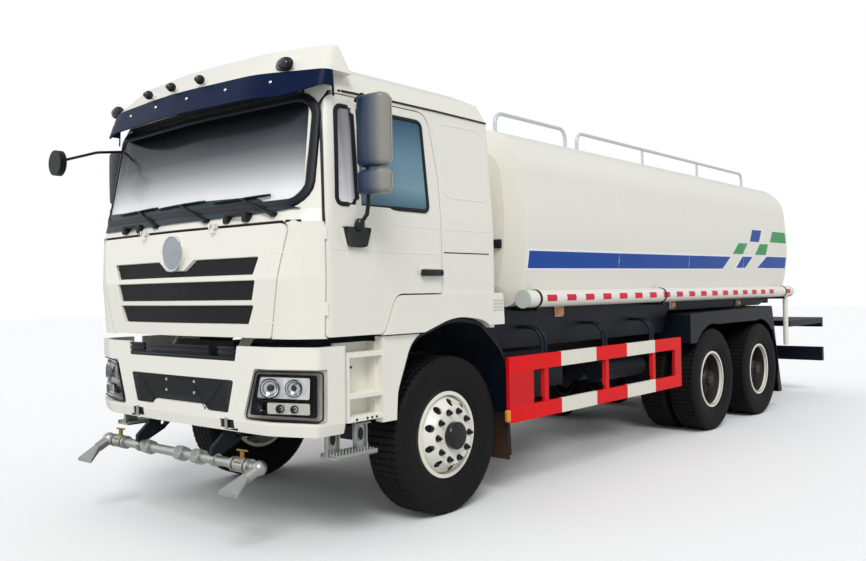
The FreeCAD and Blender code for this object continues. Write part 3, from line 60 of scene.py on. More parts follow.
# ---------------- studio
# A pale floor and white surround, lit by a broad sun from the front left, a weak low one from the
# front right and the sky. The camera stands at eye height off the truck's front left corner.
CAMERA_PLACE = Vector((4.89, -7.91, 1.53))
CAMERA_YAW = math.radians(40.6)
CAMERA_PITCH = math.radians(0.75)
CAMERA_ROLL = math.radians(-0.91)

ahead = Vector((-math.sin(CAMERA_YAW) * math.cos(CAMERA_PITCH),
                math.cos(CAMERA_YAW) * math.cos(CAMERA_PITCH),
                math.sin(CAMERA_PITCH)))
level = Vector((math.cos(CAMERA_YAW), math.sin(CAMERA_YAW), 0))
upright = level.cross(ahead)
sideways = level * math.cos(CAMERA_ROLL) + upright * math.sin(CAMERA_ROLL)
upwards = upright * math.cos(CAMERA_ROLL) - level * math.sin(CAMERA_ROLL)
camera = bpy.data.objects.new("camera", bpy.data.cameras.new("camera"))
camera.data.sensor_width = 36.0
camera.data.lens = 35.25
camera.matrix_world = Matrix.Translation(CAMERA_PLACE) @ Matrix(
    (sideways, upwards, -ahead)).transposed().to_4x4()
scene.collection.objects.link(camera)
scene.camera = camera


def lamp(name, kind, strength, aim, **settings):
    """A studio lamp that shines along aim."""
    data = bpy.data.lights.new(name, kind)
    data.energy = strength
    for key, value in settings.items():
        setattr(data, key, value)
    made = bpy.data.objects.new(name, data)
    made.rotation_mode = "QUATERNION"
    made.rotation_quaternion = Vector(aim).to_track_quat("-Z", "Y")
    scene.collection.objects.link(made)
    return made


lamp("key", "SUN", 1.55, (-0.55, 0.62, -0.75), angle=math.radians(25))
lamp("fill", "SUN", 0.45, (0.75, 0.65, -0.25), angle=math.radians(60))


def nodes_of(material):
    """The material's node tree, empty but for its surface shader and output."""
    material.use_nodes = True
    tree = material.node_tree
    return tree, tree.nodes["Principled BSDF"]


def add(tree, kind, **settings):
    """A new node with its settings; a setting with a capital is an input socket's value."""
    node = tree.nodes.new("ShaderNode" + kind)
    for key, value in settings.items():
        if key[0].isupper():
            node.inputs[key.replace("_", " ")].default_value = value
        else:
            setattr(node, key, value)
    return node


def mixed(tree, factor, first, second):
    """A colour between first and second; each is a socket or four numbers."""
    node = add(tree, "Mix", data_type="RGBA")
    tree.links.new(factor, node.inputs["Factor"])
    for socket, value in (("A", first), ("B", second)):
        target = next(s for s in node.inputs if s.name == socket and s.type == "RGBA")
        if isinstance(value, (list, tuple)):
            target.default_value = value
        else:
            tree.links.new(value, target)
    return next(s for s in node.outputs if s.type == "RGBA")


world = bpy.data.worlds.new("surround")
scene.world = world
world.use_nodes = True
tree = world.node_tree
sky = tree.nodes["Background"]
sky.inputs["Color"].default_value = (0.95, 0.98, 1.0, 1)
sky.inputs["Strength"].default_value = 0.62
white = add(tree, "Background", Color=(1, 1, 1, 1), Strength=1.0)
ray = add(tree, "LightPath")
seen = add(tree, "Math", operation="MAXIMUM")
tree.links.new(ray.outputs["Is Camera Ray"], seen.inputs[0])
tree.links.new(ray.outputs["Is Transmission Ray"], seen.inputs[1])
pick = add(tree, "MixShader")
tree.links.new(seen.outputs[0], pick.inputs["Fac"])
tree.links.new(sky.outputs[0], pick.inputs[1])
tree.links.new(white.outputs[0], pick.inputs[2])
tree.links.new(pick.outputs[0], tree.nodes["World Output"].inputs["Surface"])

bm = bmesh.new()
bmesh.ops.create_circle(bm, cap_ends=True, segments=64, radius=60)
floor_mesh = bpy.data.meshes.new("floor")
bm.to_mesh(floor_mesh)
bm.free()
floor = bpy.data.objects.new("floor", floor_mesh)
scene.collection.objects.link(floor)
concrete = bpy.data.materials.new("pale_floor")
tree, shader = nodes_of(concrete)
shader.inputs["Roughness"].default_value = 0.9
shader.inputs["Specular IOR Level"].default_value = 0.1
lit = add(tree, "LightPath").outputs["Is Camera Ray"]
tree.links.new(mixed(tree, lit, (0.62, 0.62, 0.62, 1), (1, 1, 1, 1)), shader.inputs["Base Color"])
floor_mesh.materials.append(concrete)


# ---------------- painted steel and plain finishes
# The cab, tank and chassis are sprayed; rubber and moulded plastic carry a fine grain.
# Each finish has broad patches of tint, a fine grain in its gloss and a slight ripple.
def linear(hex_colour):
    """A colour written as rrggbb, as the shader's linear numbers."""
    parts = [int(hex_colour[i:i + 2], 16) / 255 for i in (0, 2, 4)]
    return [p / 12.92 if p <= 0.04045 else ((p + 0.055) / 1.055) ** 2.4 for p in parts] + [1.0]


def ranged(tree, source, low, high):
    """source, from 0 to 1, spread between low and high."""
    node = add(tree, "MapRange", To_Min=low, To_Max=high)
    tree.links.new(source, node.inputs["Value"])
    return node.outputs["Result"]


def finish(name, colour, roughness, tint=0.05, patch=1.3, grain=60.0, bump=0.02, depth=0.001, **sockets):
    """A procedural finish over one colour. Further sockets of the shader are set as given."""
    made = bpy.data.materials.new(name)
    tree, shader = nodes_of(made)
    place = add(tree, "TexCoord").outputs["Object"]
    broad = add(tree, "TexNoise", Scale=patch, Detail=5.0, Roughness=0.6)
    fine = add(tree, "TexNoise", Scale=grain, Detail=4.0, Roughness=0.65)
    tree.links.new(place, broad.inputs["Vector"])
    tree.links.new(place, fine.inputs["Vector"])
    full = linear(colour)
    dull = [c * (1 - tint) for c in full[:3]] + [1.0]
    bright = [min(1.0, c * (1 + tint * 0.5)) for c in full[:3]] + [1.0]
    paint = mixed(tree, ranged(tree, broad.outputs["Fac"], 0.0, 1.0), dull, bright)
    tree.links.new(paint, shader.inputs["Base Color"])
    gloss = ranged(tree, fine.outputs["Fac"], max(0.02, roughness - 0.09), min(1.0, roughness + 0.09))
    tree.links.new(gloss, shader.inputs["Roughness"])
    relief = add(tree, "Bump", Strength=bump, Distance=depth)
    tree.links.new(fine.outputs["Fac"], relief.inputs["Height"])
    tree.links.new(relief.outputs["Normal"], shader.inputs["Normal"])
    for key, value in sockets.items():
        shader.inputs[key.replace("_", " ")].default_value = value
    return made


cream_paint = finish("cream_paint", "F2EFE4", 0.32, tint=0.025, patch=0.8, grain=22.0, bump=0.03,
                     Coat_Weight=0.5, Coat_Roughness=0.08)
chassis_paint = finish("chassis_paint", "0B1521", 0.45, tint=0.4, patch=2.2, grain=35.0, bump=0.06,
                       Specular_IOR_Level=0.3)
black_plastic = finish("black_plastic", "0B0E12", 0.5, tint=0.3, patch=3.0, grain=320.0, bump=0.12,
                       Specular_IOR_Level=0.35)
navy_plastic = finish("navy_plastic", "00163C", 0.42, tint=0.25, patch=1.6, grain=260.0, bump=0.05,
                      Specular_IOR_Level=0.12)
iron = finish("cast_iron", "23262A", 0.62, tint=0.35, patch=5.0, grain=140.0, bump=0.25, depth=0.002)
bright_metal = finish("galvanised_steel", "B9BBB6", 0.36, tint=0.18, patch=14.0, grain=120.0, bump=0.08,
                      Metallic=0.9)
rubber = finish("tyre_rubber", "0B0A09", 0.72, tint=0.4, patch=4.0, grain=240.0, bump=0.14,
                Specular_IOR_Level=0.3)
seal_rubber = finish("seal_rubber", "091119", 0.45, tint=0.2, patch=4.0, grain=160.0, bump=0.08,
                     Specular_IOR_Level=0.35)
glossy_black = finish("glossy_black", "0B0D11", 0.2, tint=0.2, patch=3.0, grain=90.0, bump=0.02)
chrome = finish("chrome", "D9DCE0", 0.1, tint=0.08, patch=6.0, grain=60.0, bump=0.01, Metallic=1.0)


def graded(name, axis, stops, roughness, stepped=False, tint=0.04, **sockets):
    """A finish whose colour follows height, width or length. Stops are (place in metres, colour)."""
    made = finish(name, stops[0][1], roughness, tint=tint, **sockets)
    tree = made.node_tree
    split = add(tree, "SeparateXYZ")
    tree.links.new(next(n for n in tree.nodes if n.type == "TEX_COORD").outputs["Object"], split.inputs[0])
    spread = add(tree, "MapRange", From_Min=stops[0][0], From_Max=stops[-1][0])
    tree.links.new(split.outputs[axis], spread.inputs["Value"])
    ramp = add(tree, "ValToRGB")
    ramp.color_ramp.interpolation = "CONSTANT" if stepped else "LINEAR"
    points = ramp.color_ramp.elements
    for i, (place, colour) in enumerate(stops):
        position = (place - stops[0][0]) / (stops[-1][0] - stops[0][0])
        point = points[i] if i < 2 else points.new(position)
        point.position = position
        point.color = linear(colour)
    tree.links.new(spread.outputs["Result"], ramp.inputs["Fac"])
    dark = add(tree, "HueSaturation", Value=1 - tint)
    tree.links.new(ramp.outputs["Color"], dark.inputs["Color"])
    for socket in next(n for n in tree.nodes if n.type == "MIX").inputs:
        if socket.type == "RGBA":
            source = dark if socket.name == "A" else ramp
            tree.links.new(source.outputs["Color"], socket)
    return made


def coat(node, material):
    """Gives a node of the solid model its finish."""
    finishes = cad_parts[node].data.materials
    finishes.clear()
    finishes.append(material)


CARRIED = {
    cream_paint: ["cab_shell", "cab_roof", "door_left", "door_right", "front_flap", "bumper", "step_panels",
                  "tank", "manhole_lid", "hose_tubes", "rim_front_left", "rim_front_right",
                  "rims_middle_left", "rims_middle_right", "rims_rear_left", "rims_rear_right"],
    chassis_paint: ["frame_rails", "cross_members", "front_cross_member", "front_mudguards", "rear_mudguards",
                    "tank_bearers", "tank_saddles", "side_valances", "rear_platform", "underrun_guard",
                    "front_axle", "rear_axles", "knuckle_left", "knuckle_right", "leaf_springs", "air_tanks",
                    "battery_box", "water_pump", "silencer"],
    navy_plastic: ["sun_visor"],
    black_plastic: ["wipers", "corner_mirror", "mirror_left", "mirror_right", "dashboard"],
    iron: ["engine"],
    bright_metal: ["spray_bar", "lower_steps", "fuel_tank", "tank_rails", "tank_ladder"],
}
for material, names in CARRIED.items():
    for name in names:
        coat(name, material)


# ---------------- windscreen
# One curved laminated pane, held in a thick black rubber that is pressed over the edge of its opening.
# The pane's colour is graded by height: a painted reflection of the sky, pale at its foot, and painted shade,
# dark under the visor.
def surface(*names):
    """The skin of some CAD nodes, for laying trim on."""
    skin = bmesh.new()
    for name in names:
        skin.from_mesh(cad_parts[name].data)
    tree = BVHTree.FromBMesh(skin)
    skin.free()
    return tree


def piece(name, bm, material, body, sharp=35.0):
    """Makes a shape one named piece that rides on a body."""
    bmesh.ops.recalc_face_normals(bm, faces=bm.faces[:])
    mesh = bpy.data.meshes.new(name)
    bm.to_mesh(mesh)
    bm.free()
    mesh.materials.append(material)
    mesh.shade_smooth()
    mesh.set_sharp_from_angle(angle=math.radians(sharp))
    made = bpy.data.objects.new(name, mesh)
    scene.collection.objects.link(made)
    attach(made, body)
    return made


def mirrored(bm):
    """A copy of a shape, on the other side of the truck."""
    other = bm.copy()
    bmesh.ops.scale(other, vec=(-1, 1, 1), verts=other.verts[:])
    return other


def pair(name, bm, material, body, sharp=35.0):
    """A left piece and its mirror image on the right. The body's name takes the side at {}."""
    other = mirrored(bm)
    return (piece(name + "_left", bm, material, body.format("left"), sharp),
            piece(name + "_right", other, material, body.format("right"), sharp))


def join(bm, part):
    """Adds one shape to another."""
    mesh = bpy.data.meshes.new("part")
    part.to_mesh(mesh)
    part.free()
    bm.from_mesh(mesh)
    bpy.data.meshes.remove(mesh)


BACKWARDS = Vector((0, 1, 0))
INWARDS = Vector((-1, 0, 0))


def ahead_of(x, z):
    """A point in front of the cab, to be thrown backwards on to it."""
    return at(x, -2.2, z)


def beside(aft, z):
    """A point to the left of the truck, to be thrown inwards on to it."""
    return at(1.7, aft, z)


def slices(axis, low, high, step):
    """Planes across one axis, where a sheet may bend."""
    count = round((high - low) / step)
    normal = Vector([1.0 if i == axis else 0.0 for i in range(3)])
    return [(normal * (low + step * i), normal) for i in range(count + 1)]


FRONT_CUTS = slices(0, -1.2, 1.2, 0.1) + slices(2, 1.3, 2.9, 0.16)


def laid(tree, corners, radius, throw, cuts=FRONT_CUTS):
    """A sheet laid on a skin. Its outline has rounded corners and is thrown along one direction."""
    sheet = bmesh.new()
    sheet.faces.new([sheet.verts.new(corner) for corner in corners])
    if radius:
        bmesh.ops.bevel(sheet, geom=sheet.verts[:], offset=radius, segments=6, profile=0.5, affect="VERTICES",
                        material=-1)
    for place, normal in cuts:
        bmesh.ops.bisect_plane(sheet, geom=sheet.verts[:] + sheet.edges[:] + sheet.faces[:], dist=1e-5,
                               plane_co=place, plane_no=normal)
    depths = {vert: tree.ray_cast(vert.co, throw)[3] for vert in sheet.verts}
    landed = [vert for vert, depth in depths.items() if depth is not None]
    places = {vert: vert.co.copy() for vert in landed}
    for vert, depth in depths.items():
        if depth is None:
            depth = depths[min(landed, key=lambda other: (places[other] - vert.co).length)]
        vert.co = vert.co + throw * depth
    return sheet


def front_sheet(tree, places, radius):
    """A sheet laid on the front of the cab, its outline given as places across and up."""
    return laid(tree, [ahead_of(x, z) for x, z in places], radius, BACKWARDS)


def front_spot(tree, x, z):
    """Where a place across and up falls on a skin of the cab's front."""
    return tree.ray_cast(ahead_of(x, z), BACKWARDS)[0]


def raised(sheet, throw, thickness, sunk=0.002):
    """Gives a laid sheet its thickness, outwards from a little inside the skin."""
    bmesh.ops.translate(sheet, vec=throw * sunk, verts=sheet.verts[:])
    made = bmesh.ops.extrude_face_region(sheet, geom=sheet.faces[:])
    top = [part for part in made["geom"] if isinstance(part, bmesh.types.BMVert)]
    bmesh.ops.translate(sheet, vec=-throw * (thickness + sunk), verts=top)
    return sheet


def edge_of(sheet):
    """The points round the edge of a sheet, in order."""
    first = next(edge for edge in sheet.edges if edge.is_boundary)
    points, here, came = [first.verts[0].co.copy()], first.verts[1], first
    while here != first.verts[0]:
        points.append(here.co.copy())
        came = next(edge for edge in here.link_edges if edge.is_boundary and edge != came)
        here = came.other_vert(here)
    return points


def bridge(bm, rings, closed=True):
    """Skins the gaps between rings that follow each other."""
    for ring, following in zip(rings, rings[1:] + (rings[:1] if closed else [])):
        lines = {line for loop in (ring, following) for vert in loop for line in vert.link_edges
                 if line.other_vert(vert) in loop}
        bmesh.ops.bridge_loops(bm, edges=list(lines))


def moulding(bm, tree, points, throw, width, height, closed=True, sides=8):
    """A rounded strip along points on a skin, width across and height proud of it."""
    rings = []
    count = len(points)
    for i, point in enumerate(points):
        before = points[i - 1] if closed or i else point
        after = points[(i + 1) % count] if closed or i < count - 1 else point
        run = (after - before).normalized()
        normal = tree.ray_cast(point - throw * 0.1, throw)[1] or -throw
        normal = normal if normal.dot(throw) < 0 else -normal
        across = normal.cross(run).normalized()
        normal = run.cross(across)
        turn = Matrix((across * width / 2, normal * height, run)).transposed().to_4x4()
        ring = bmesh.ops.create_circle(bm, segments=sides, radius=1.0,
                                       matrix=Matrix.Translation(point) @ turn)
        rings.append(ring["verts"])
    bridge(bm, rings, closed)
    if not closed:
        for ring in (rings[0], rings[-1]):
            bm.faces.new(ring)


SCREEN = [(-1.128, 2.06), (1.128, 2.06), (1.098, 2.715), (-1.098, 2.715)]
SCREEN_CORNER = 0.13
cab_front = surface("cab_shell", "windscreen")
sheet = front_sheet(cab_front, SCREEN, SCREEN_CORNER)
rubber_line = edge_of(sheet)
# Painted light on the pane by height: a pale painted reflection low down and dark painted shade under the
# visor.
SCREEN_PAINTED_LIGHT = [(2.06, "F6F8FA"), (2.14, "F2F3F4"), (2.18, "E4E5E6"), (2.234, "CACBCC"), (2.286, "B2B2B2"),
                 (2.338, "929394"), (2.443, "585D63"), (2.548, "3A3A42"), (2.653, "14161B")]
screen_glass = graded("windscreen_glass", 2, SCREEN_PAINTED_LIGHT, 0.12, tint=0.02, patch=0.6, grain=8.0, bump=0.01,
                      Specular_IOR_Level=0.12)
pane = piece("windscreen_pane", raised(sheet, BACKWARDS, 0.004), screen_glass, "cab")
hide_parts("windscreen")
bm = bmesh.new()
moulding(bm, cab_front, rubber_line, BACKWARDS, 0.062, 0.02)
piece("windscreen_rubber", bm, seal_rubber, "cab")

# The dark cover over the wiper gear fills the foot of the screen and tapers off before its left end.
COVER = [(-1.1, 2.005), (0.3, 2.012), (0.76, 2.02), (1.1, 2.03), (1.02, 2.05), (0.82, 2.075), (0.7, 2.125),
         (0.5, 2.13), (0.0, 2.14), (-0.4, 2.128), (-1.1, 2.14)]
cover_plastic = finish("wiper_cover", "0A2537", 0.35, tint=0.4, patch=6.0, grain=200.0, bump=0.05,
                       Specular_IOR_Level=0.3)
bm = raised(front_sheet(cab_front, COVER, 0.006), BACKWARDS, 0.016)
piece("wiper_cover", bm, cover_plastic, "cab")
# A thin black sheet laid on the cab's front between the screen's top and the visor: a painted shadow under
# the visor.
VISOR_SHADOW_SHEET = [(-1.02, 2.7), (1.02, 2.7), (1.0, 2.79), (-1.0, 2.79)]
bm = raised(front_sheet(surface("cab_shell", "cab_roof", "windscreen"), VISOR_SHADOW_SHEET, 0.01), BACKWARDS, 0.003)
piece("visor_shadow_sheet", bm, seal_rubber, "cab")

# ---------------- wipers
# Three pressed-steel arms, each on a spindle through the cover, with rubber blades in steel spines.
# They park along the top of the cover.
def rod(bm, start, end, radius, end_radius=None, segments=20):
    """A round bar between two points."""
    start, end = Vector(start), Vector(end)
    run = end - start
    turn = run.to_track_quat("Z", "Y").to_matrix().to_4x4()
    bmesh.ops.create_cone(bm, cap_ends=True, segments=segments, radius1=radius,
                          radius2=radius if end_radius is None else end_radius, depth=run.length,
                          matrix=Matrix.Translation((start + end) / 2) @ turn)


bm = bmesh.new()
#          pivot, tip
WIPERS = [((-0.277, 1.999), (-0.587, 2.128)), ((0.303, 1.999), (-0.025, 2.128)), ((0.93, 1.999), (0.6, 2.12))]
for pivot, tip in WIPERS:
    foot, head = (front_spot(cab_front, *place) for place in (pivot, tip))
    foot.z = pivot[1]
    rod(bm, foot + Vector((0, -0.036, 0)), foot + Vector((0, 0.01, 0)), 0.014, 0.015, segments=24)
    rod(bm, foot + Vector((0, -0.028, 0)), head + Vector((0, -0.032, 0)), 0.011, 0.007, segments=12)
    rod(bm, foot + Vector((0.014, -0.022, 0.01)), foot.lerp(head, 0.6) + Vector((0.012, -0.03, 0.01)), 0.004,
        segments=8)
    ends = [front_spot(cab_front, tip[0] + dx, tip[1] + dx * 0.02) for dx in (-0.27, 0, 0.25)]
    for start, end in zip(ends, ends[1:]):
        rod(bm, start + Vector((0, -0.02, 0)), end + Vector((0, -0.02, 0)), 0.008, segments=10)
        spine = Vector((0, -0.031, 0.002))
        rod(bm, start.lerp(end, 0.15) + spine, start.lerp(end, 0.85) + spine, 0.005, segments=8)
wiper_set = piece("wiper_arms", bm, seal_rubber, "cab")
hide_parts("wipers")


# ---------------- front of the cab
# A hinged painted flap with three black mesh grilles pressed into it, and a round blank badge.
# Its top meets the body at a black seam, over which two grab brackets are screwed.
flap_skin = surface("front_flap")
whole_front = surface("cab_shell", "front_flap")


def block(bm, low, high, edge=0.0, segments=2):
    """A box between two corners, with rounded edges."""
    low, high = Vector(low), Vector(high)
    corners = bmesh.ops.create_cube(bm, size=1.0)["verts"]
    bmesh.ops.scale(bm, vec=high - low, verts=corners)
    bmesh.ops.translate(bm, vec=(low + high) / 2, verts=corners)
    if edge:
        edges = list({line for corner in corners for line in corner.link_edges})
        bmesh.ops.bevel(bm, geom=edges, offset=edge, segments=segments, profile=0.5, affect="EDGES",
                        material=-1)


def mesh_grille(bm, tree, low, high, half_low, half_high, spacing, wire, notch=None):
    """Crossed wires on a skin, in a panel that widens from half_low at its foot to half_high at its top."""
    height = high - low
    start = -half_high - height
    for slope in (-1, 1):
        for i in range(int(2 * (half_high + height) / spacing)):
            runs = []
            for step in range(7):
                up = height * step / 6
                x = start + i * spacing + slope * (up - height / 2) + height / 2
                half = half_low + (half_high - half_low) * up / height
                inside = abs(x) < half and not (notch and notch(x, low + up))
                runs.append((x, low + up) if inside else None)
            good = [place for place in runs if place]
            if len(good) > 1:
                ends = []
                for x, z in (good[0], good[-1]):
                    hit = front_spot(tree, x, z)
                    ends.append(hit + Vector((0, -wire, 0)))
                rod(bm, ends[0], ends[1], wire, segments=5)


#        foot, top, half width at the foot, half width at the top
GRILLES = [(1.352, 1.463, 0.706, 0.762), (1.497, 1.613, 0.751, 0.787), (1.651, 1.753, 0.772, 0.818)]
WIRE_SPACING, WIRE_RADIUS = 0.026, 0.0022
mesh_black = finish("grille_black", "04070C", 0.42, tint=0.3, patch=4.0, grain=140.0, bump=0.08,
                    Specular_IOR_Level=0.35)


FIELD_FOOT, FIELD_HALF = 1.685, 0.11


def badge_field(x, z):
    """Whether a place lies in the painted field that dips into the top grille."""
    return z > FIELD_FOOT and abs(x) < FIELD_HALF + (z - FIELD_FOOT) * 1.5


bm = bmesh.new()
for foot, top, half_low, half_high in GRILLES:
    notch = badge_field if top > 1.7 else None
    mesh_grille(bm, flap_skin, foot, top, half_low, half_high, WIRE_SPACING, WIRE_RADIUS, notch)
piece("front_grille_mesh", bm, mesh_black, "front_flap_body")
bm = bmesh.new()
backs = [[(-half_low, foot), (half_low, foot), (half_high, top), (-half_high, top)]
         for foot, top, half_low, half_high in GRILLES[:2]]
foot, top, half_low, half_high = GRILLES[2]
backs += [[(-half_low, foot), (half_low, foot), (half_high, top), (0.212, top), (0.108, 1.687),
           (-0.108, 1.687), (-0.212, top), (-half_high, top)]]
for corners in backs:
    join(bm, raised(front_sheet(flap_skin, corners, 0.012), BACKWARDS, 0.002))
piece("front_grille_backs", bm, mesh_black, "front_flap_body")


def lathe(bm, profile, centre, axis, segments=48):
    """Points of (distance along the axis, radius) spun round an axis through centre."""
    part = bmesh.new()
    axis = Vector(axis).normalized()
    across = axis.orthogonal().normalized()
    points = [part.verts.new(Vector(centre) + axis * along + across * radius) for along, radius in profile]
    lines = [part.edges.new(ends) for ends in zip(points, points[1:])]
    bmesh.ops.spin(part, geom=points + lines, cent=centre, axis=axis, angle=math.tau, steps=segments,
                   use_merge=True)
    bmesh.ops.remove_doubles(part, verts=part.verts[:], dist=1e-5)
    join(bm, part)


badge = front_spot(flap_skin, 0, 1.805)
bm = bmesh.new()
lathe(bm, [(0, 0.104), (0.004, 0.106), (0.006, 0.112), (0.003, 0.118), (-0.004, 0.118), (-0.004, 0.104),
           (0, 0.104)], badge, (0, -1, 0), 64)
piece("badge_ring", bm, chrome, "front_flap_body")
bm = bmesh.new()
lathe(bm, [(0.004, 0), (0.0035, 0.06), (0.002, 0.104), (-0.002, 0.104), (-0.002, 0)], badge, (0, -1, 0), 64)
badge_grey = finish("badge_grey", "9DA3AB", 0.3, tint=0.2, patch=20.0, grain=60.0)
piece("badge_blank", bm, badge_grey, "front_flap_body")


def skin_line(tree, places, spot, throw, step=0.08):
    """Points on a skin along straight runs between places, each given as spot takes it."""
    line = []
    for (u0, v0), (u1, v1) in zip(places, places[1:]):
        count = max(1, round(math.hypot(u1 - u0, v1 - v0) / step))
        for i in range(count + 1):
            if i or not line:
                share = i / count
                hit = tree.ray_cast(spot(u0 + (u1 - u0) * share, v0 + (v1 - v0) * share), throw)[0]
                if hit is not None:
                    line.append(hit)
    return line


bm = bmesh.new()
seam = skin_line(whole_front, [(-1.06, 1.954), (1.12, 1.954)], ahead_of, BACKWARDS)
moulding(bm, whole_front, seam, BACKWARDS, 0.016, 0.004, closed=False)
piece("flap_top_seal", bm, seal_rubber, "cab")

bm = bmesh.new()
for x in (-0.6, 0.6):
    hit = front_spot(whole_front, x, 1.992)
    for dx in (-0.12, 0.07):
        block(bm, hit + Vector((dx, -0.035, -0.022)), hit + Vector((dx + 0.05, 0.02, 0.035)), 0.008)
    rod(bm, hit + Vector((-0.11, -0.024, 0.028)), hit + Vector((0.11, -0.024, 0.028)), 0.01, segments=12)
piece("grab_brackets", bm, black_plastic, "cab")

# Pressed lines in the steel of the front corners, filled with the cab's own paint.
bm = bmesh.new()
for side in (-1, 1):
    corners = [(side * x, z) for x, z in ((0.86, 1.36), (1.1, 1.36), (1.13, 1.775), (0.92, 1.775))]
    line = edge_of(front_sheet(whole_front, corners, 0.03))
    moulding(bm, whole_front, line, BACKWARDS, 0.012, 0.002, sides=6)
piece("corner_pressings", bm, cream_paint, "cab")

# ---------------- visor and roof lamps
# A smoked navy visor screwed under the fairing, and five marker lamps along the fairing's front.
# Each lamp is a moulded case with a smoked lens standing out of it.
def ball(bm, centre, size, around=20, up=12):
    """A round or flattened ball."""
    points = bmesh.ops.create_uvsphere(bm, u_segments=around, v_segments=up, radius=1.0)["verts"]
    bmesh.ops.scale(bm, vec=size, verts=points)
    bmesh.ops.translate(bm, vec=centre, verts=points)


visor_skin = surface("sun_visor")
bm = bmesh.new()
for x in (-0.9, -0.55, -0.18, 0.18, 0.55, 0.9):
    hit = front_spot(visor_skin, x, 2.79)
    if hit is not None:
        lathe(bm, [(0.006, 0), (0.005, 0.007), (0.001, 0.011), (-0.004, 0.011), (-0.004, 0)], hit,
              (0, -1, 0.3), 12)
piece("visor_screws", bm, chrome, "cab")
roof_skin = surface("cab_roof")
bm = bmesh.new()
lenses = bmesh.new()
for x, wide, high in ((-0.96, 0.075, 0.045), (0.96, 0.075, 0.045), (-0.3, 0.032, 0.03), (0, 0.032, 0.03),
                      (0.3, 0.032, 0.03)):
    hit = front_spot(roof_skin, x, 2.895) + Vector((0, -0.012, 0))
    for shape, grow, deep in ((bm, 1.0, 0.03), (lenses, 0.78, 0.042)):
        ball(shape, hit, (wide * grow, deep, high * grow))
piece("roof_lamp_cases", bm, black_plastic, "cab")
smoked = finish("smoked_lens", "1D2126", 0.12, tint=0.2, patch=30.0, grain=40.0, Coat_Weight=0.6)
piece("roof_lamp_lenses", lenses, smoked, "cab")

# ---------------- sides of the cab
# Pressed and painted steel: a crease along the door, a sunk frame in the rear panel, dark seams
# and a rubber gutter that runs down the pillar. The door handle is black plastic.
SIDE_CUTS = slices(1, -5.0, -2.6, 0.15)
SIDE_CUTS += [(Vector((0, 0, z)), Vector((0, 0, 1))) for z in (1.62, 1.955, 2.025)]


def side_sheet(tree, places, radius, cuts=SIDE_CUTS):
    """A sheet laid on the truck's left side, its outline given as places along and up."""
    return laid(tree, [beside(aft, z) for aft, z in places], radius, INWARDS, cuts)


def side_lines(name, nodes, places, width, height, material, body, closed=False, corner=0.0):
    """A line along the cab's side, on both sides of the truck."""
    tree = surface(*nodes)
    if closed:
        line = edge_of(side_sheet(tree, places, corner))
    else:
        line = skin_line(tree, places, beside, INWARDS)
    made = bmesh.new()
    moulding(made, tree, line, INWARDS, width, height, closed=closed, sides=6)
    if "{}" in body:
        return pair(name, made, material, body)
    join(made, mirrored(made))
    return piece(name, made, material, body)


LEFT_DOOR, DOORS = ["door_left"], "door_{}_body"
CAB_SIDE = ["cab_shell", "cab_roof"]
side_lines("door_crease", LEFT_DOOR, [(-1.144, 1.79), (-0.16, 1.78)], 0.012, 0.0025, cream_paint, DOORS)
side_lines("door_waist_line", LEFT_DOOR, [(-0.72, 1.955), (-0.155, 1.952)], 0.008, 0.002, cream_paint, DOORS)
side_lines("rear_panel_frame", CAB_SIDE, [(-0.1, 2.17), (0.41, 2.17), (0.41, 2.68), (-0.1, 2.68)], 0.014,
           0.003, cream_paint, "cab", closed=True, corner=0.08)
side_lines("rear_panel_waist", CAB_SIDE, [(-0.11, 1.95), (0.455, 1.95)], 0.008, 0.002, cream_paint, "cab")
side_lines("rear_panel_seam", CAB_SIDE, [(-0.115, 1.792), (0.462, 1.792)], 0.009, 0.002, seal_rubber, "cab")
side_lines("door_gutter", CAB_SIDE, [(-0.99, 2.748), (-0.6, 2.756), (-0.1, 2.757), (0.45, 2.752)], 0.014,
           0.012, seal_rubber, "cab")
pillar_skin = surface("cab_shell", "cab_roof", "door_left")
bm = bmesh.new()
PILLAR = [(-1.0, 2.748), (-1.075, 2.735), (-1.118, 2.66), (-1.166, 2.1), (-1.181, 1.96), (-1.18, 1.95)]
line = skin_line(pillar_skin, PILLAR, beside, INWARDS)
moulding(bm, pillar_skin, line, INWARDS, 0.017, 0.006, closed=False)
pair("pillar_seal", bm, seal_rubber, "cab")

door_skin = surface("door_left")
bm = bmesh.new()
handle = door_skin.ray_cast(beside(-0.256, 1.655), INWARDS)[0]
block(bm, handle + Vector((-0.01, -0.108, -0.022)), handle + Vector((0.018, 0.1, 0.022)), 0.008, 3)
lathe(bm, [(0.0, 0.0), (0.0, 0.009), (-0.006, 0.01)], handle + Vector((0.022, 0.083, 0.0)), (1, 0, 0), 16)
pair("door_handle", bm, glossy_black, DOORS)
bm = bmesh.new()
vent = surface("cab_shell").ray_cast(beside(0.48, 1.425), INWARDS)[0]
for i in range(6):
    for j in range(4):
        spot = vent + Vector((0.0, -0.05 + 0.02 * i, -0.035 + 0.023 * j))
        block(bm, spot - Vector((0.004, 0.0065, 0.0075)), spot + Vector((0.003, 0.0065, 0.0075)), 0.002, 1)
vent_grey = finish("vent_grey", "C9C5BA", 0.5, tint=0.2)
pair("vent_pattern", bm, vent_grey, "cab")
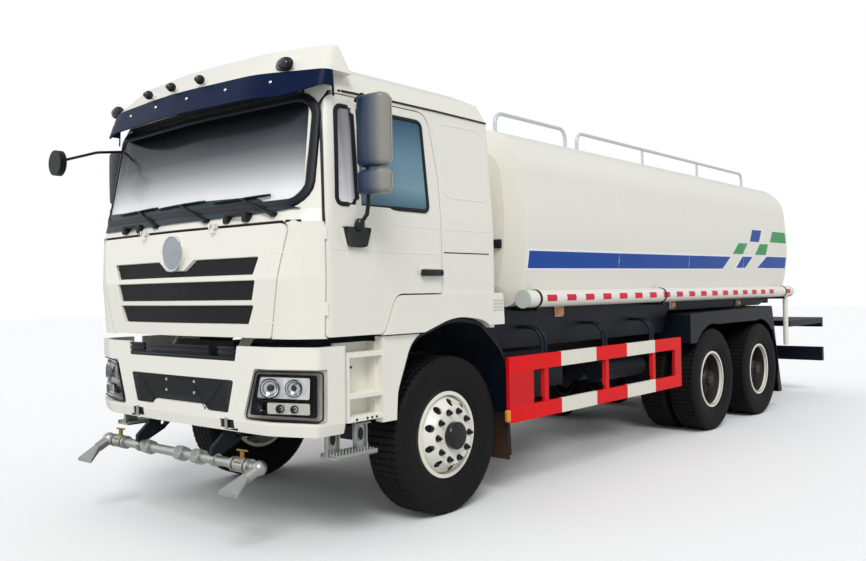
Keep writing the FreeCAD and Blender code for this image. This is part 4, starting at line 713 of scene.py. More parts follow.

# ---------------- side windows
# A fixed quarter pane and a winding pane of tinted glass in each door, each in its own black rubber.
# Their colours are graded by height: a painted reflection of the sky, with painted shade towards their tops.
PANES = [[(-1.085, 2.06), (-0.915, 2.06), (-0.915, 2.655), (-1.045, 2.655)],
         [(-0.88, 2.06), (-0.265, 2.06), (-0.285, 2.655), (-0.88, 2.655)]]
window_skin = surface("door_left", "door_glass_left")
bm = bmesh.new()
for corners in PANES:
    moulding(bm, door_skin, edge_of(side_sheet(window_skin, corners, 0.04)), INWARDS, 0.03, 0.012)
pair("window_rubber", bm, seal_rubber, DOORS)
# Painted reflection and painted shade on each pane, graded by height.
QUARTER_PAINTED_REFLECTION = [(2.06, "F4F6F8"), (2.25, "D5D5DC"), (2.5, "A19FA6"), (2.66, "8C8A90")]
quarter_glass = graded("quarter_glass", 2, QUARTER_PAINTED_REFLECTION, 0.07, tint=0.02, patch=1.0, grain=8.0, bump=0.01,
                       Coat_Weight=0.8, Coat_Roughness=0.03)
DOOR_PANE_PAINTED_REFLECTION = [(2.06, "4A6F84"), (2.2, "7FA3B3"), (2.4, "6C93A6"), (2.66, "24506C")]
wound_glass = graded("door_glass", 2, DOOR_PANE_PAINTED_REFLECTION, 0.07, tint=0.25, patch=1.4, grain=8.0, bump=0.01,
                     Coat_Weight=0.2, Specular_IOR_Level=0.3)
for corners, name, glass in ((PANES[0], "quarter_pane", quarter_glass), (PANES[1], "door_pane", wound_glass)):
    bm = raised(side_sheet(window_skin, corners, 0.035), INWARDS, 0.003)
    panes = pair(name, bm, glass, DOORS)
    if name == "door_pane":
        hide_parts("door_glass_left")
        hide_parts("door_glass_right")

# ---------------- mirrors
# Two black moulded housings on a bent tube outside each door, with silvered glass facing back.
# The tube is clamped to a plate on the door. The housings' colour is graded across their width: a painted
# reflection and painted shade over the dark plastic.
MOULDED = dict(tint=0.15, patch=6.0, grain=200.0, bump=0.04, Specular_IOR_Level=0.25)
# Painted reflection and painted shade across each housing's width, over its dark plastic.
LEFT_HOUSING_PAINTED_LIGHT = [(1.3, "071B2B"), (1.37, "12304A"), (1.43, "3D4A62"), (1.48, "6F7278"), (1.53, "A39F95")]
RIGHT_HOUSING_PAINTED_LIGHT = [(-1.53, "1B2730"), (-1.3, "0A1A28")]
housing = graded("mirror_housing", 0, LEFT_HOUSING_PAINTED_LIGHT, 0.3, **MOULDED)
housing_right = graded("mirror_housing_right", 0, RIGHT_HOUSING_PAINTED_LIGHT, 0.3, **MOULDED)
silvered = finish("mirror_glass", "DDE3E8", 0.04, tint=0.02, patch=4.0, grain=6.0, bump=0.005, Metallic=1.0)


def mirror_shell(bm, low, high, crown):
    """A deep moulded housing, rounded at its corners and crowned towards the front."""
    part = bmesh.new()
    block(part, low, high)
    long_edges = [edge for edge in part.edges]
    bmesh.ops.bevel(part, geom=long_edges, offset=0.032, segments=5, profile=0.5, affect="EDGES", material=-1)
    middle, half = (high.z + low.z) / 2, (high.z - low.z) / 2
    centre, width = (high.x + low.x) / 2, (high.x - low.x) / 2
    for z in (low.z + half * 0.5, middle, high.z - half * 0.5):
        bmesh.ops.bisect_plane(part, geom=part.verts[:] + part.edges[:] + part.faces[:], dist=1e-5,
                               plane_co=(0, 0, z), plane_no=(0, 0, 1))
    for x in (centre - width * 0.5, centre, centre + width * 0.5):
        bmesh.ops.bisect_plane(part, geom=part.verts[:] + part.edges[:] + part.faces[:], dist=1e-5,
                               plane_co=(x, 0, 0), plane_no=(1, 0, 0))
    for vert in part.verts:
        if vert.co.y < (low.y + high.y) / 2:
            across, up = (vert.co.x - centre) / width, (vert.co.z - middle) / half
            vert.co.y -= crown * (1 - across * across) * (1 - 0.5 * up * up)
    join(bm, part)


MIRRORS = [(at(1.31, -1.02, 2.268), at(1.53, -0.925, 2.69)), (at(1.31, -1.02, 2.105), at(1.53, -0.925, 2.25))]
shells, rims, glasses, arms = bmesh.new(), bmesh.new(), bmesh.new(), bmesh.new()
for low, high in MIRRORS:
    mirror_shell(shells, low, high, 0.022)
    block(glasses, Vector((low.x + 0.018, high.y - 0.002, low.z + 0.018)),
          Vector((high.x - 0.018, high.y + 0.003, high.z - 0.018)), 0.0015, 1)
    for x in (low.x + 0.008, high.x - 0.008):
        rod(rims, (x, high.y - 0.006, low.z + 0.03), (x, high.y - 0.006, high.z - 0.03), 0.006, segments=10)
    for z in (low.z + 0.008, high.z - 0.008):
        rod(rims, (low.x + 0.03, high.y - 0.006, z), (high.x - 0.03, high.y - 0.006, z), 0.006, segments=10)
TUBE = [at(1.2, -0.9, 2.7), at(1.255, -0.905, 2.725), at(1.3, -0.905, 2.7), at(1.3, -0.905, 2.62),
        at(1.3, -0.905, 2.3), at(1.3, -0.905, 2.06), at(1.292, -0.91, 2.0), at(1.262, -0.915, 1.965)]
for start, end in zip(TUBE, TUBE[1:]):
    rod(arms, start, end, 0.013, segments=14)
for corner in TUBE:
    ball(arms, corner, (0.0135, 0.0135, 0.0135), 14, 8)
for z in (2.16, 2.33, 2.6):
    block(arms, at(1.29, -0.93, z), at(1.33, -0.89, z + 0.035), 0.006)
plate = [(-1.02, 1.803), (-0.875, 1.803), (-0.835, 1.925), (-1.055, 1.925)]
join(arms, raised(side_sheet(door_skin, plate, 0.02), INWARDS, 0.022))
lathe(arms, [(0.05, 0), (0.046, 0.018), (0.03, 0.03), (0.0, 0.034), (-0.02, 0.034)], at(1.235, -0.92, 1.93),
      (0.25, 0, 1), 20)
for made, name, material, kind in ((rims, "mirror_edges", bright_metal, "bright_metal"),
                                   (glasses, "mirror_glass", silvered, "tinted_glass")):
    pair(name, made, material, DOORS)
frame_pieces = pair("mirror_arm", arms, glossy_black, DOORS)
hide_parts("mirror_left")
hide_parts("mirror_right")
shell_right = mirrored(shells)
piece("mirror_housings_left", shells, housing, "door_left_body")
piece("mirror_housings_right", shell_right, housing_right, "door_right_body")

# ---------------- tank stripes
# Cut from coloured film and laid on the tank's side: one long blue stripe with pale edges,
# then slanted blue and green blocks towards the rear.
tank_skin = surface("tank")
TANK_CUTS = slices(2, 1.5, 2.8, 0.06) + slices(1, -2.4, 3.4, 1.0)
VINYL = dict(tint=0.15, patch=2.0, grain=50.0, bump=0.01, Specular_IOR_Level=0.25)
blue_film = finish("blue_film", "0048A4", 0.35, **VINYL)
green_film = finish("green_film", "3D9C5A", 0.35, **VINYL)
pale_film = finish("pale_film", "FBFBF8", 0.3, tint=0.02, patch=2.0, grain=50.0, bump=0.01, Coat_Weight=0.4)


def film(name, shapes, material, thickness):
    """Film cut to shapes, each given by its corners' distance and height, on both sides of the tank."""
    made = bmesh.new()
    for corners in shapes:
        join(made, raised(side_sheet(tank_skin, corners, 0, TANK_CUTS), INWARDS, thickness))
    join(made, mirrored(made))
    return piece(name, made, material, "root")


film("stripe_blue", [[(0.956, 1.835), (5.0, 1.872), (4.8, 1.735), (0.956, 1.7)],
                     [(5.354, 1.88), (5.676, 1.885), (5.474, 1.752), (5.193, 1.747)],
                     [(6.153, 1.896), (6.872, 1.902), (6.86, 1.76), (5.868, 1.755)],
                     [(5.694, 2.209), (5.998, 2.213), (5.887, 2.069), (5.588, 2.065)]], blue_film, 0.0016)
film("stripe_green", [[(5.23, 2.034), (5.506, 2.04), (5.366, 1.911), (5.065, 1.907)],
                      [(5.919, 2.045), (6.198, 2.05), (6.119, 1.916), (5.76, 1.912)],
                      [(6.387, 2.216), (6.85, 2.22), (6.869, 2.084), (6.27, 2.08)]], green_film, 0.0016)
film("stripe_edges", [[(0.935, 1.853), (5.06, 1.892), (4.79, 1.716), (0.935, 1.682)],
                      [(5.33, 1.899), (5.73, 1.904), (5.48, 1.733), (5.12, 1.728)],
                      [(6.12, 1.914), (6.876, 1.92), (6.876, 1.742), (5.8, 1.737)]], pale_film, 0.0008)

# Weld seams round the tank's strakes, the small lamp on its front head and a fitting at its rear top.
tank_low, tank_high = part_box("tank")
heart = (tank_low.z + tank_high.z) / 2
bm = bmesh.new()
for aft in (0.93, 2.4, 3.9, 5.4, 6.86):
    ring, here = [], at(0, aft, heart)
    for i in range(96):
        spoke = Vector((math.sin(math.tau * i / 96), 0, math.cos(math.tau * i / 96)))
        hit = tank_skin.ray_cast(here + spoke * 2, -spoke)[0]
        if hit is not None:
            ring.append((hit, spoke))
    rings = []
    for hit, spoke in ring:
        turn = Matrix((BACKWARDS * 0.006, spoke * 0.0022, spoke.cross(BACKWARDS))).transposed().to_4x4()
        rings.append(bmesh.ops.create_circle(bm, segments=6, radius=1.0,
                                             matrix=Matrix.Translation(hit) @ turn)["verts"])
    bridge(bm, rings)
piece("tank_seams", bm, cream_paint, "root")
bm = bmesh.new()
spot = tank_skin.ray_cast(at(0.963, 0.2, 1.895), BACKWARDS)[0]
block(bm, spot + Vector((-0.04, -0.03, -0.035)), spot + Vector((0.04, 0.01, 0.035)), 0.01)
rod(bm, spot + Vector((0, -0.055, 0)), spot, 0.03, segments=20)
spot = tank_skin.ray_cast(at(0.55, 6.79, 3.2), Vector((0, 0, -1)))[0]
rod(bm, spot, spot + Vector((0, 0, 0.04)), 0.022, segments=16)
rod(bm, spot + Vector((0, -0.09, 0.03)), spot + Vector((0, 0.04, 0.035)), 0.008, segments=10)
piece("tank_fittings", bm, black_plastic, "root")

# ---------------- hose tubes
# Cream steel tubes along both sides of the tank, closed by a cap at each end. Red reflective film
# is stuck to them, and black rubber straps hold them. Amber marker lamps sit on the sheet below.
tube_skin = surface("hose_tubes")
tube_x, tube_z, tube_r = 1.19, 1.462, 0.068
reflective = finish("red_reflective", "DE0F38", 0.3, tint=0.15, patch=9.0, grain=400.0, bump=0.05,
                    Specular_IOR_Level=0.3)
TUBE_CUTS = slices(2, tube_z - 0.03, tube_z + 0.04, 0.012)
FILM_HALF, FILM_LOW, FILM_HIGH = 0.07, tube_z - 0.022, tube_z + 0.03
bm = bmesh.new()
for aft in [1.17 + 0.292 * i for i in range(18)] + [6.76]:
    corners = [(aft - FILM_HALF, FILM_LOW), (aft + FILM_HALF, FILM_LOW), (aft + FILM_HALF, FILM_HIGH),
               (aft - FILM_HALF, FILM_HIGH)]
    join(bm, raised(side_sheet(tube_skin, corners, 0, TUBE_CUTS), INWARDS, 0.0015))
pair("tube_reflectors", bm, reflective, "root")
bm = bmesh.new()
for aft in (1.015, 3.2, 6.67):
    lathe(bm, [(-0.013, tube_r), (-0.013, tube_r + 0.005), (0.013, tube_r + 0.005), (0.013, tube_r),
               (-0.013, tube_r)], at(tube_x, aft, tube_z), (0, 1, 0), 40)
    rod(bm, at(tube_x - 0.062, aft, tube_z - 0.01), at(1.0, aft, tube_z - 0.06), 0.006, segments=8)
pair("tube_straps", bm, seal_rubber, "root")
bm = bmesh.new()
for aft in (0.862, 6.948):
    lathe(bm, [(-0.004, 0.0), (-0.004, tube_r + 0.003), (0.012, tube_r + 0.003), (0.012, 0.0)],
          at(tube_x, aft - 0.004, tube_z), (0, 1, 0), 40)
cap_grey = finish("tube_cap", "C9D2CC", 0.4, tint=0.1)
pair("tube_caps", bm, cap_grey, "root")

amber = finish("amber_lens", "F0962A", 0.2, tint=0.2, patch=30.0, grain=300.0, bump=0.2, Coat_Weight=0.6)
markers, bodies = bmesh.new(), bmesh.new()
valance = surface("side_valances")
for low, high, z0, z1 in ((1.61, 1.72, 1.31, 1.38), (3.82, 3.92, 1.32, 1.385), (5.63, 5.735, 1.3, 1.36)):
    hit = valance.ray_cast(beside((low + high) / 2, (z0 + z1) / 2), INWARDS)[0]
    block(bodies, at(hit.x - 0.004, low - 0.008, z0 - 0.008), at(hit.x + 0.012, high + 0.008, z1 + 0.008),
          0.005)
    block(markers, at(hit.x, low, z0), at(hit.x + 0.024, high, z1), 0.008, 3)
pair("side_marker_lenses", markers, amber, "root")
marker_white = finish("marker_white", "E8E4DA", 0.4, tint=0.1)
pair("side_marker_bases", bodies, marker_white, "root")

# ---------------- side guards
# Welded steel frames in reflective red and cream blocks, hung on dark bent arms.
# The colours follow length and height on the solid's own mesh. A small amber lamp sits at its front.
GUARD_RED, GUARD_CREAM = "F00008", "EFEBDC"
#                block's front edge behind the front axle, colour
GUARD_BLOCKS = [(0.5, GUARD_RED), (1.306, GUARD_CREAM), (1.859, GUARD_RED), (2.409, GUARD_CREAM),
                (2.964, GUARD_RED), (3.6, GUARD_RED)]
guard = graded("guard_paint", 1, [(FRONT_AXLE + aft, colour) for aft, colour in GUARD_BLOCKS], 0.38,
               stepped=True, tint=0.06, patch=3.0, grain=200.0, bump=0.03, Specular_IOR_Level=0.2)
tree = guard.node_tree
heights = next(n for n in tree.nodes if n.type == "SEPXYZ").outputs["Z"]
shader = tree.nodes["Principled BSDF"]
striped = shader.inputs["Base Color"].links[0].from_socket


def between(tree, source, low, high):
    """1 where source lies between two heights, else 0."""
    above = add(tree, "Math", operation="GREATER_THAN")
    under = add(tree, "Math", operation="LESS_THAN")
    both = add(tree, "Math", operation="MULTIPLY")
    above.inputs[1].default_value, under.inputs[1].default_value = low, high
    tree.links.new(source, above.inputs[0])
    tree.links.new(source, under.inputs[0])
    tree.links.new(above.outputs[0], both.inputs[0])
    tree.links.new(under.outputs[0], both.inputs[1])
    return both.outputs[0]


POST_FOOT, POST_TOP = 0.666, 0.918
ARM_FOOT, ARM_TOP = 1.038, 2.0
posts_red = mixed(tree, between(tree, heights, POST_FOOT, POST_TOP), striped, linear("DA141B"))
arms_dark = mixed(tree, between(tree, heights, ARM_FOOT, ARM_TOP), posts_red, linear("1A222C"))
tree.links.new(arms_dark, shader.inputs["Base Color"])
coat("side_guards", guard)
bm = bmesh.new()
block(bm, at(1.21, 0.565, 0.56), at(1.25, 0.6, 0.65), 0.012, 3)
pair("guard_lamp", bm, amber, "root")

# ---------------- bumper
# A painted steel bumper with a black mesh panel and two towing slots with steel pins.
# A dark ribbed plate, split round the cab's tilt arms, closes the dip above it.
bumper_skin = surface("bumper")
bm = bmesh.new()
mesh_grille(bm, bumper_skin, 0.812, 1.0, 0.52, 0.575, 0.03, WIRE_RADIUS,
            lambda x, z: z < 0.845 and abs(x) < 0.285)
corners = [(-0.522, 0.806), (-0.32, 0.806), (-0.27, 0.841), (0.27, 0.841), (0.32, 0.806), (0.522, 0.806),
           (0.58, 1.005), (-0.58, 1.005)]
join(bm, raised(front_sheet(bumper_skin, corners, 0.012), BACKWARDS, 0.002))
piece("bumper_grille", bm, mesh_black, "root")
bm = bmesh.new()
for x, z in ((-0.16, 0.975), (-0.16, 0.905), (0.16, 0.975), (0.16, 0.905)):
    hit = front_spot(bumper_skin, x, z)
    lathe(bm, [(0.009, 0), (0.008, 0.006), (0.003, 0.011), (-0.003, 0.011), (-0.003, 0)], hit, (0, -1, 0), 16)
piece("plate_screws", bm, chrome, "root")
bm = bmesh.new()
front_wall = front_spot(bumper_skin, 0, 1.1).y
BACKING_HALF, TOW_SLOT = 0.6, 0.51
ARM_IN, ARM_OUT = 0.335, 0.425
block(bm, (-BACKING_HALF, front_wall + 0.02, 1.03), (BACKING_HALF, front_wall + 0.027, 1.15), 0.002)
block(bm, (-BACKING_HALF, front_wall + 0.008, 1.13), (BACKING_HALF, front_wall + 0.024, 1.15), 0.005)
for x0, x1 in ((-BACKING_HALF, -ARM_OUT), (-ARM_IN, ARM_IN), (ARM_OUT, BACKING_HALF)):
    block(bm, (x0, front_wall + 0.02, 1.14), (x1, front_wall + 0.027, 1.208), 0.002)
    for z in (1.165, 1.195):
        block(bm, (x0, front_wall + 0.008, z), (x1, front_wall + 0.024, z + 0.018), 0.005)
for x in (-TOW_SLOT, TOW_SLOT):
    block(bm, (x - 0.1, front_wall + 0.021, 0.7), (x + 0.1, front_wall + 0.028, 0.79), 0.002)
piece("bumper_backing", bm, chassis_paint, "root")
bm = bmesh.new()
for x in (-TOW_SLOT, TOW_SLOT):
    rod(bm, (x, front_wall + 0.01, 0.705), (x, front_wall + 0.01, 0.775), 0.011, segments=18)
piece("tow_pins", bm, bright_metal, "root")

# ---------------- headlamps
# A clear moulded cover over a black bezel, in a cream case: two chrome reflectors above, and three
# small ones with a ribbed fog lens below. A dark rubber line runs round the cover.
lamp_skin = surface("headlamps")
LAMP_THROW = Vector((-0.6, 0.8, 0))
LAMP_ACROSS = Vector((0.8, 0.6, 0))
lamp_middle = at(0.96, -1.33, 0)


def lamp_spot(across, z):
    """A place on the left lamp, seen square on from outside."""
    return lamp_middle + LAMP_ACROSS * across - LAMP_THROW * 0.8 + Vector((0, 0, z))


def on_lamp(corners, radius):
    """A sheet laid on the lamp's face."""
    places = [lamp_spot(u, z) for u, z in corners]
    return laid(lamp_skin, places, radius, LAMP_THROW, slices(0, 0.6, 1.3, 0.05))


def lamp_sheet(corners, radius, sink, thickness):
    """A plate behind the lamp's cover, sunk below it."""
    sheet = on_lamp(corners, radius)
    bmesh.ops.translate(sheet, vec=LAMP_THROW * (sink + thickness), verts=sheet.verts[:])
    return raised(sheet, LAMP_THROW, thickness, 0.0)


LAMP_FACE = [(-0.232, 0.79), (0.272, 0.79), (0.276, 1.074), (-0.152, 1.074)]
bezel_black = finish("bezel_black", "07090C", 0.3, tint=0.2, patch=9.0, grain=120.0, bump=0.04,
                     Specular_IOR_Level=0.2)
clear = bpy.data.materials.new("clear_cover")
tree, shader = nodes_of(clear)
shader.inputs["Transmission Weight"].default_value = 1.0
shader.inputs["IOR"].default_value = 1.15
shader.inputs["Specular IOR Level"].default_value = 0.3
haze = add(tree, "TexNoise", Scale=25.0, Detail=3.0)
tree.links.new(add(tree, "TexCoord").outputs["Object"], haze.inputs["Vector"])
tree.links.new(ranged(tree, haze.outputs["Fac"], 0.01, 0.05), shader.inputs["Roughness"])
ribbed = finish("ribbed_lens", "C9C8BE", 0.12, tint=0.5, patch=55.0, grain=120.0, bump=0.5, depth=0.004,
                Coat_Weight=0.8)
cover = pair("lamp_cover", lamp_sheet(LAMP_FACE, 0.02, 0.0, 0.004), clear, "root")
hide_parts("headlamps")
bm = lamp_sheet([(-0.25, 0.776), (0.284, 0.776), (0.288, 1.09), (-0.168, 1.09)], 0.02, 0.035, 0.004)
pair("lamp_case", bm, cream_paint, "root")
bm = bmesh.new()
moulding(bm, lamp_skin, edge_of(on_lamp(LAMP_FACE, 0.02)), LAMP_THROW, 0.009, 0.006, sides=6)
pair("lamp_outline", bm, seal_rubber, "root")
bm = lamp_sheet([(-0.21, 0.808), (0.236, 0.808), (0.241, 1.055), (-0.148, 1.055)], 0.015, 0.022, 0.008)
pair("lamp_bezel", bm, bezel_black, "root")
bm = lamp_sheet([(-0.15, 0.915), (0.194, 0.915), (0.199, 1.04), (-0.122, 1.04)], 0.012, 0.015, 0.006)
bright_lining = finish("bright_lining", "F2F3EE", 0.2, tint=0.55, patch=26.0, grain=160.0, bump=0.5,
                       depth=0.004, Metallic=0.35)
pair("lamp_reflector_box", bm, bright_lining, "root")
bm = lamp_sheet([(-0.075, 0.826), (0.196, 0.826), (0.196, 0.892), (-0.075, 0.892)], 0.01, 0.014, 0.007)
pair("fog_lens", bm, ribbed, "root")
bowls, bulbs = bmesh.new(), bmesh.new()
for u, z, r in ((-0.055, 0.977, 0.054), (0.098, 0.98, 0.047), (-0.135, 0.858, 0.024), (0.01, 0.859, 0.024),
                (0.1, 0.859, 0.022)):
    hit = lamp_skin.ray_cast(lamp_spot(u, z), LAMP_THROW)[0] + LAMP_THROW * 0.012
    lathe(bowls, [(0.006, r), (0.009, r * 0.97), (0.006, r * 0.9), (-0.004, r * 0.62), (-0.008, r * 0.35),
                  (-0.008, 0.0)], hit, -LAMP_THROW, 40)
    lathe(bulbs, [(-0.008, r * 0.3), (0.001, r * 0.34), (0.006, r * 0.24), (0.007, 0.0)], hit, -LAMP_THROW,
          24)
    lathe(bulbs, [(0.007, r * 1.1), (0.012, r * 1.05), (0.007, r)], hit, -LAMP_THROW, 40)
    lathe(bulbs, [(0.0, r * 0.8), (0.004, r * 0.77), (0.0, r * 0.72)], hit, -LAMP_THROW, 40)
pair("lamp_bowls", bowls, chrome, "root")
pair("lamp_bulbs", bulbs, smoked, "root")

# ---------------- steps
# Pressed steps in the painted boxes, each with rows of punched grips, and a galvanised grating step
# below on two pressed hangers with an oval hole each. Plastic plugs close the boxes' bolt holes.
bm, lower = bmesh.new(), bmesh.new()


def grips(bm, x0, x1, y0, y1, z, across, along, size):
    """Rows of small punched cones on a tread."""
    for i in range(across):
        for j in range(along):
            spot = at(x0 + (x1 - x0) * (i + 0.5) / across, y0 + (y1 - y0) * (j + 0.5) / along, z)
            bmesh.ops.create_cone(bm, cap_ends=True, segments=8, radius1=size, radius2=size * 0.6,
                                  depth=size * 0.8,
                                  matrix=Matrix.Translation(spot + Vector((0, 0, size * 0.35))))


for z in (0.777, 0.917, 1.165):
    grips(bm, 1.1, 1.198, -1.0, -0.7, z, 4, 11, 0.009)
pair("step_grips", bm, cream_paint, "root")
STEP_OUT, STEP_IN, STEP_FRONT, STEP_BACK = 1.235, 1.085, -1.125, -0.79
block(lower, at(STEP_IN, STEP_FRONT, 0.55), at(STEP_OUT, STEP_BACK, 0.562), 0.002)
for x in (STEP_IN, STEP_OUT - 0.006):
    block(lower, at(x, STEP_FRONT, 0.55), at(x + 0.006, STEP_BACK, 0.58), 0.002)
for i in range(13):
    aft = STEP_FRONT + 0.012 + i * 0.0255
    block(lower, at(STEP_IN + 0.004, aft, 0.56), at(STEP_OUT - 0.004, aft + 0.005, 0.578), 0.001, 1)
    for k in range(5):
        x = STEP_IN + 0.022 + k * 0.026
        rod(lower, at(x, aft + 0.0025, 0.576), at(x, aft + 0.0025, 0.584), 0.006, 0.003, segments=6)
lower_step = pair("lower_step", lower, bright_metal, "root")
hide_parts("lower_steps")
bm, holes = bmesh.new(), bmesh.new()
for aft in (-1.073, -0.842):
    block(bm, at(1.08, aft - 0.052, 0.728), at(1.18, aft + 0.052, 0.736), 0.002, 1)
    block(bm, at(1.128, aft - 0.052, 0.56), at(1.134, aft + 0.052, 0.736), 0.002, 1)
    for start, end in ((aft - 0.052, aft - 0.04), (aft + 0.04, aft + 0.052)):
        block(bm, at(1.12, start, 0.56), at(1.15, end, 0.736), 0.004)
    for shape, low, high, grow in ((bm, 1.134, 1.139, 1.0), (holes, 1.134, 1.141, 0.78)):
        ring = bmesh.new()
        rod(ring, (0, 0, 0), (high - low, 0, 0), 0.034 * grow, segments=28)
        bmesh.ops.scale(ring, vec=(1, 0.85, 1.5), verts=ring.verts[:])
        bmesh.ops.translate(ring, vec=at(low, aft, 0.665), verts=ring.verts[:])
        join(shape, ring)
pair("step_hangers", bm, bright_metal, "root")
pair("hanger_holes", holes, seal_rubber, "root")
bm = bmesh.new()
rod(bm, at(1.075, -0.86, 1.07), at(1.084, -0.86, 1.07), 0.008, segments=14)
for aft in (-0.93, -0.84, -0.8, -0.76):
    rod(bm, at(1.196, aft, 0.765), at(1.203, aft, 0.765), 0.008, segments=14)
pair("step_plugs", bm, black_plastic, "root")

# ---------------- spray bar fittings
# Brass valves with lever handles on the galvanised washing bar, between steel clamping rings.
# Hexagonal unions join the bar's lengths.
brass = finish("brass", "A98A4E", 0.35, tint=0.3, patch=30.0, grain=200.0, bump=0.1, Metallic=0.9)
BAR = at(0, -1.4, 0.51)
bm, valves = bmesh.new(), bmesh.new()
for x in (-0.7, 0.7):
    rod(valves, BAR + Vector((x - 0.035, 0, 0)), BAR + Vector((x + 0.035, 0, 0)), 0.047, segments=6)
    rod(valves, BAR + Vector((x, 0, 0.03)), BAR + Vector((x, 0, 0.085)), 0.014, segments=14)
    rod(valves, BAR + Vector((x - 0.045, -0.004, 0.088)), BAR + Vector((x + 0.045, 0.004, 0.088)), 0.006,
        segments=10)
    for dx in (-0.075, 0.075):
        lathe(bm, [(-0.009, 0.03), (-0.009, 0.045), (0.009, 0.045), (0.009, 0.03)],
              BAR + Vector((x + dx, 0, 0)), (1, 0, 0), 28)
for x in (-0.43, 0.43):
    lathe(bm, [(-0.02, 0.03), (-0.02, 0.04), (0.02, 0.04), (0.02, 0.03)], BAR + Vector((x, 0, 0)), (1, 0, 0),
          28)
    rod(bm, BAR + Vector((x, -0.045, 0.0)), BAR + Vector((x, 0.045, 0.0)), 0.009, segments=6)
for x in (-0.33, 0.06, 0.25):
    rod(bm, BAR + Vector((x - 0.028, 0, 0)), BAR + Vector((x + 0.028, 0, 0)), 0.05, segments=6)
piece("bar_unions", bm, bright_metal, "root")
piece("bar_valves", valves, brass, "root")

# ---------------- wheels
# Radial tyres with moulded tread blocks and sidewall rings, on painted steel discs with ten nuts.
# The front discs bulge out round a black cap, and the rear ones are dished round the axle's hub.
#        distance from the tyre's middle plane, radius, from the rim's bead to the tread's middle
TYRE = [(-0.104, 0.289), (-0.111, 0.305), (-0.131, 0.34), (-0.133, 0.343), (-0.1325, 0.352),
        (-0.146, 0.392), (-0.1493, 0.43), (-0.1485, 0.462), (-0.1455, 0.465), (-0.1455, 0.473),
        (-0.1465, 0.476), (-0.142, 0.505), (-0.134, 0.522), (-0.125, 0.5305), (-0.078, 0.5315),
        (-0.027, 0.532)]
TYRE += [(-along, radius) for along, radius in reversed(TYRE)] + [TYRE[0]]
one_tyre = bmesh.new()
lathe(one_tyre, TYRE, (0, 0, 0), (1, 0, 0), 72)
bmesh.ops.recalc_face_normals(one_tyre, faces=one_tyre.faces[:])
tread = [face for face in one_tyre.faces
         if abs(face.calc_center_median().x) < 0.124 and face.calc_center_median().yz.length > 0.527]
bmesh.ops.inset_individual(one_tyre, faces=tread, thickness=0.0075, depth=0.0105, use_even_offset=True)
tyre_mesh = bpy.data.meshes.new("tyre_pattern")
one_tyre.to_mesh(tyre_mesh)
one_tyre.free()
MIDDLE_AXLE, REAR_AXLE = 4.375, 5.775
SINGLE, TWIN = (1.018,), (0.755, 1.095)
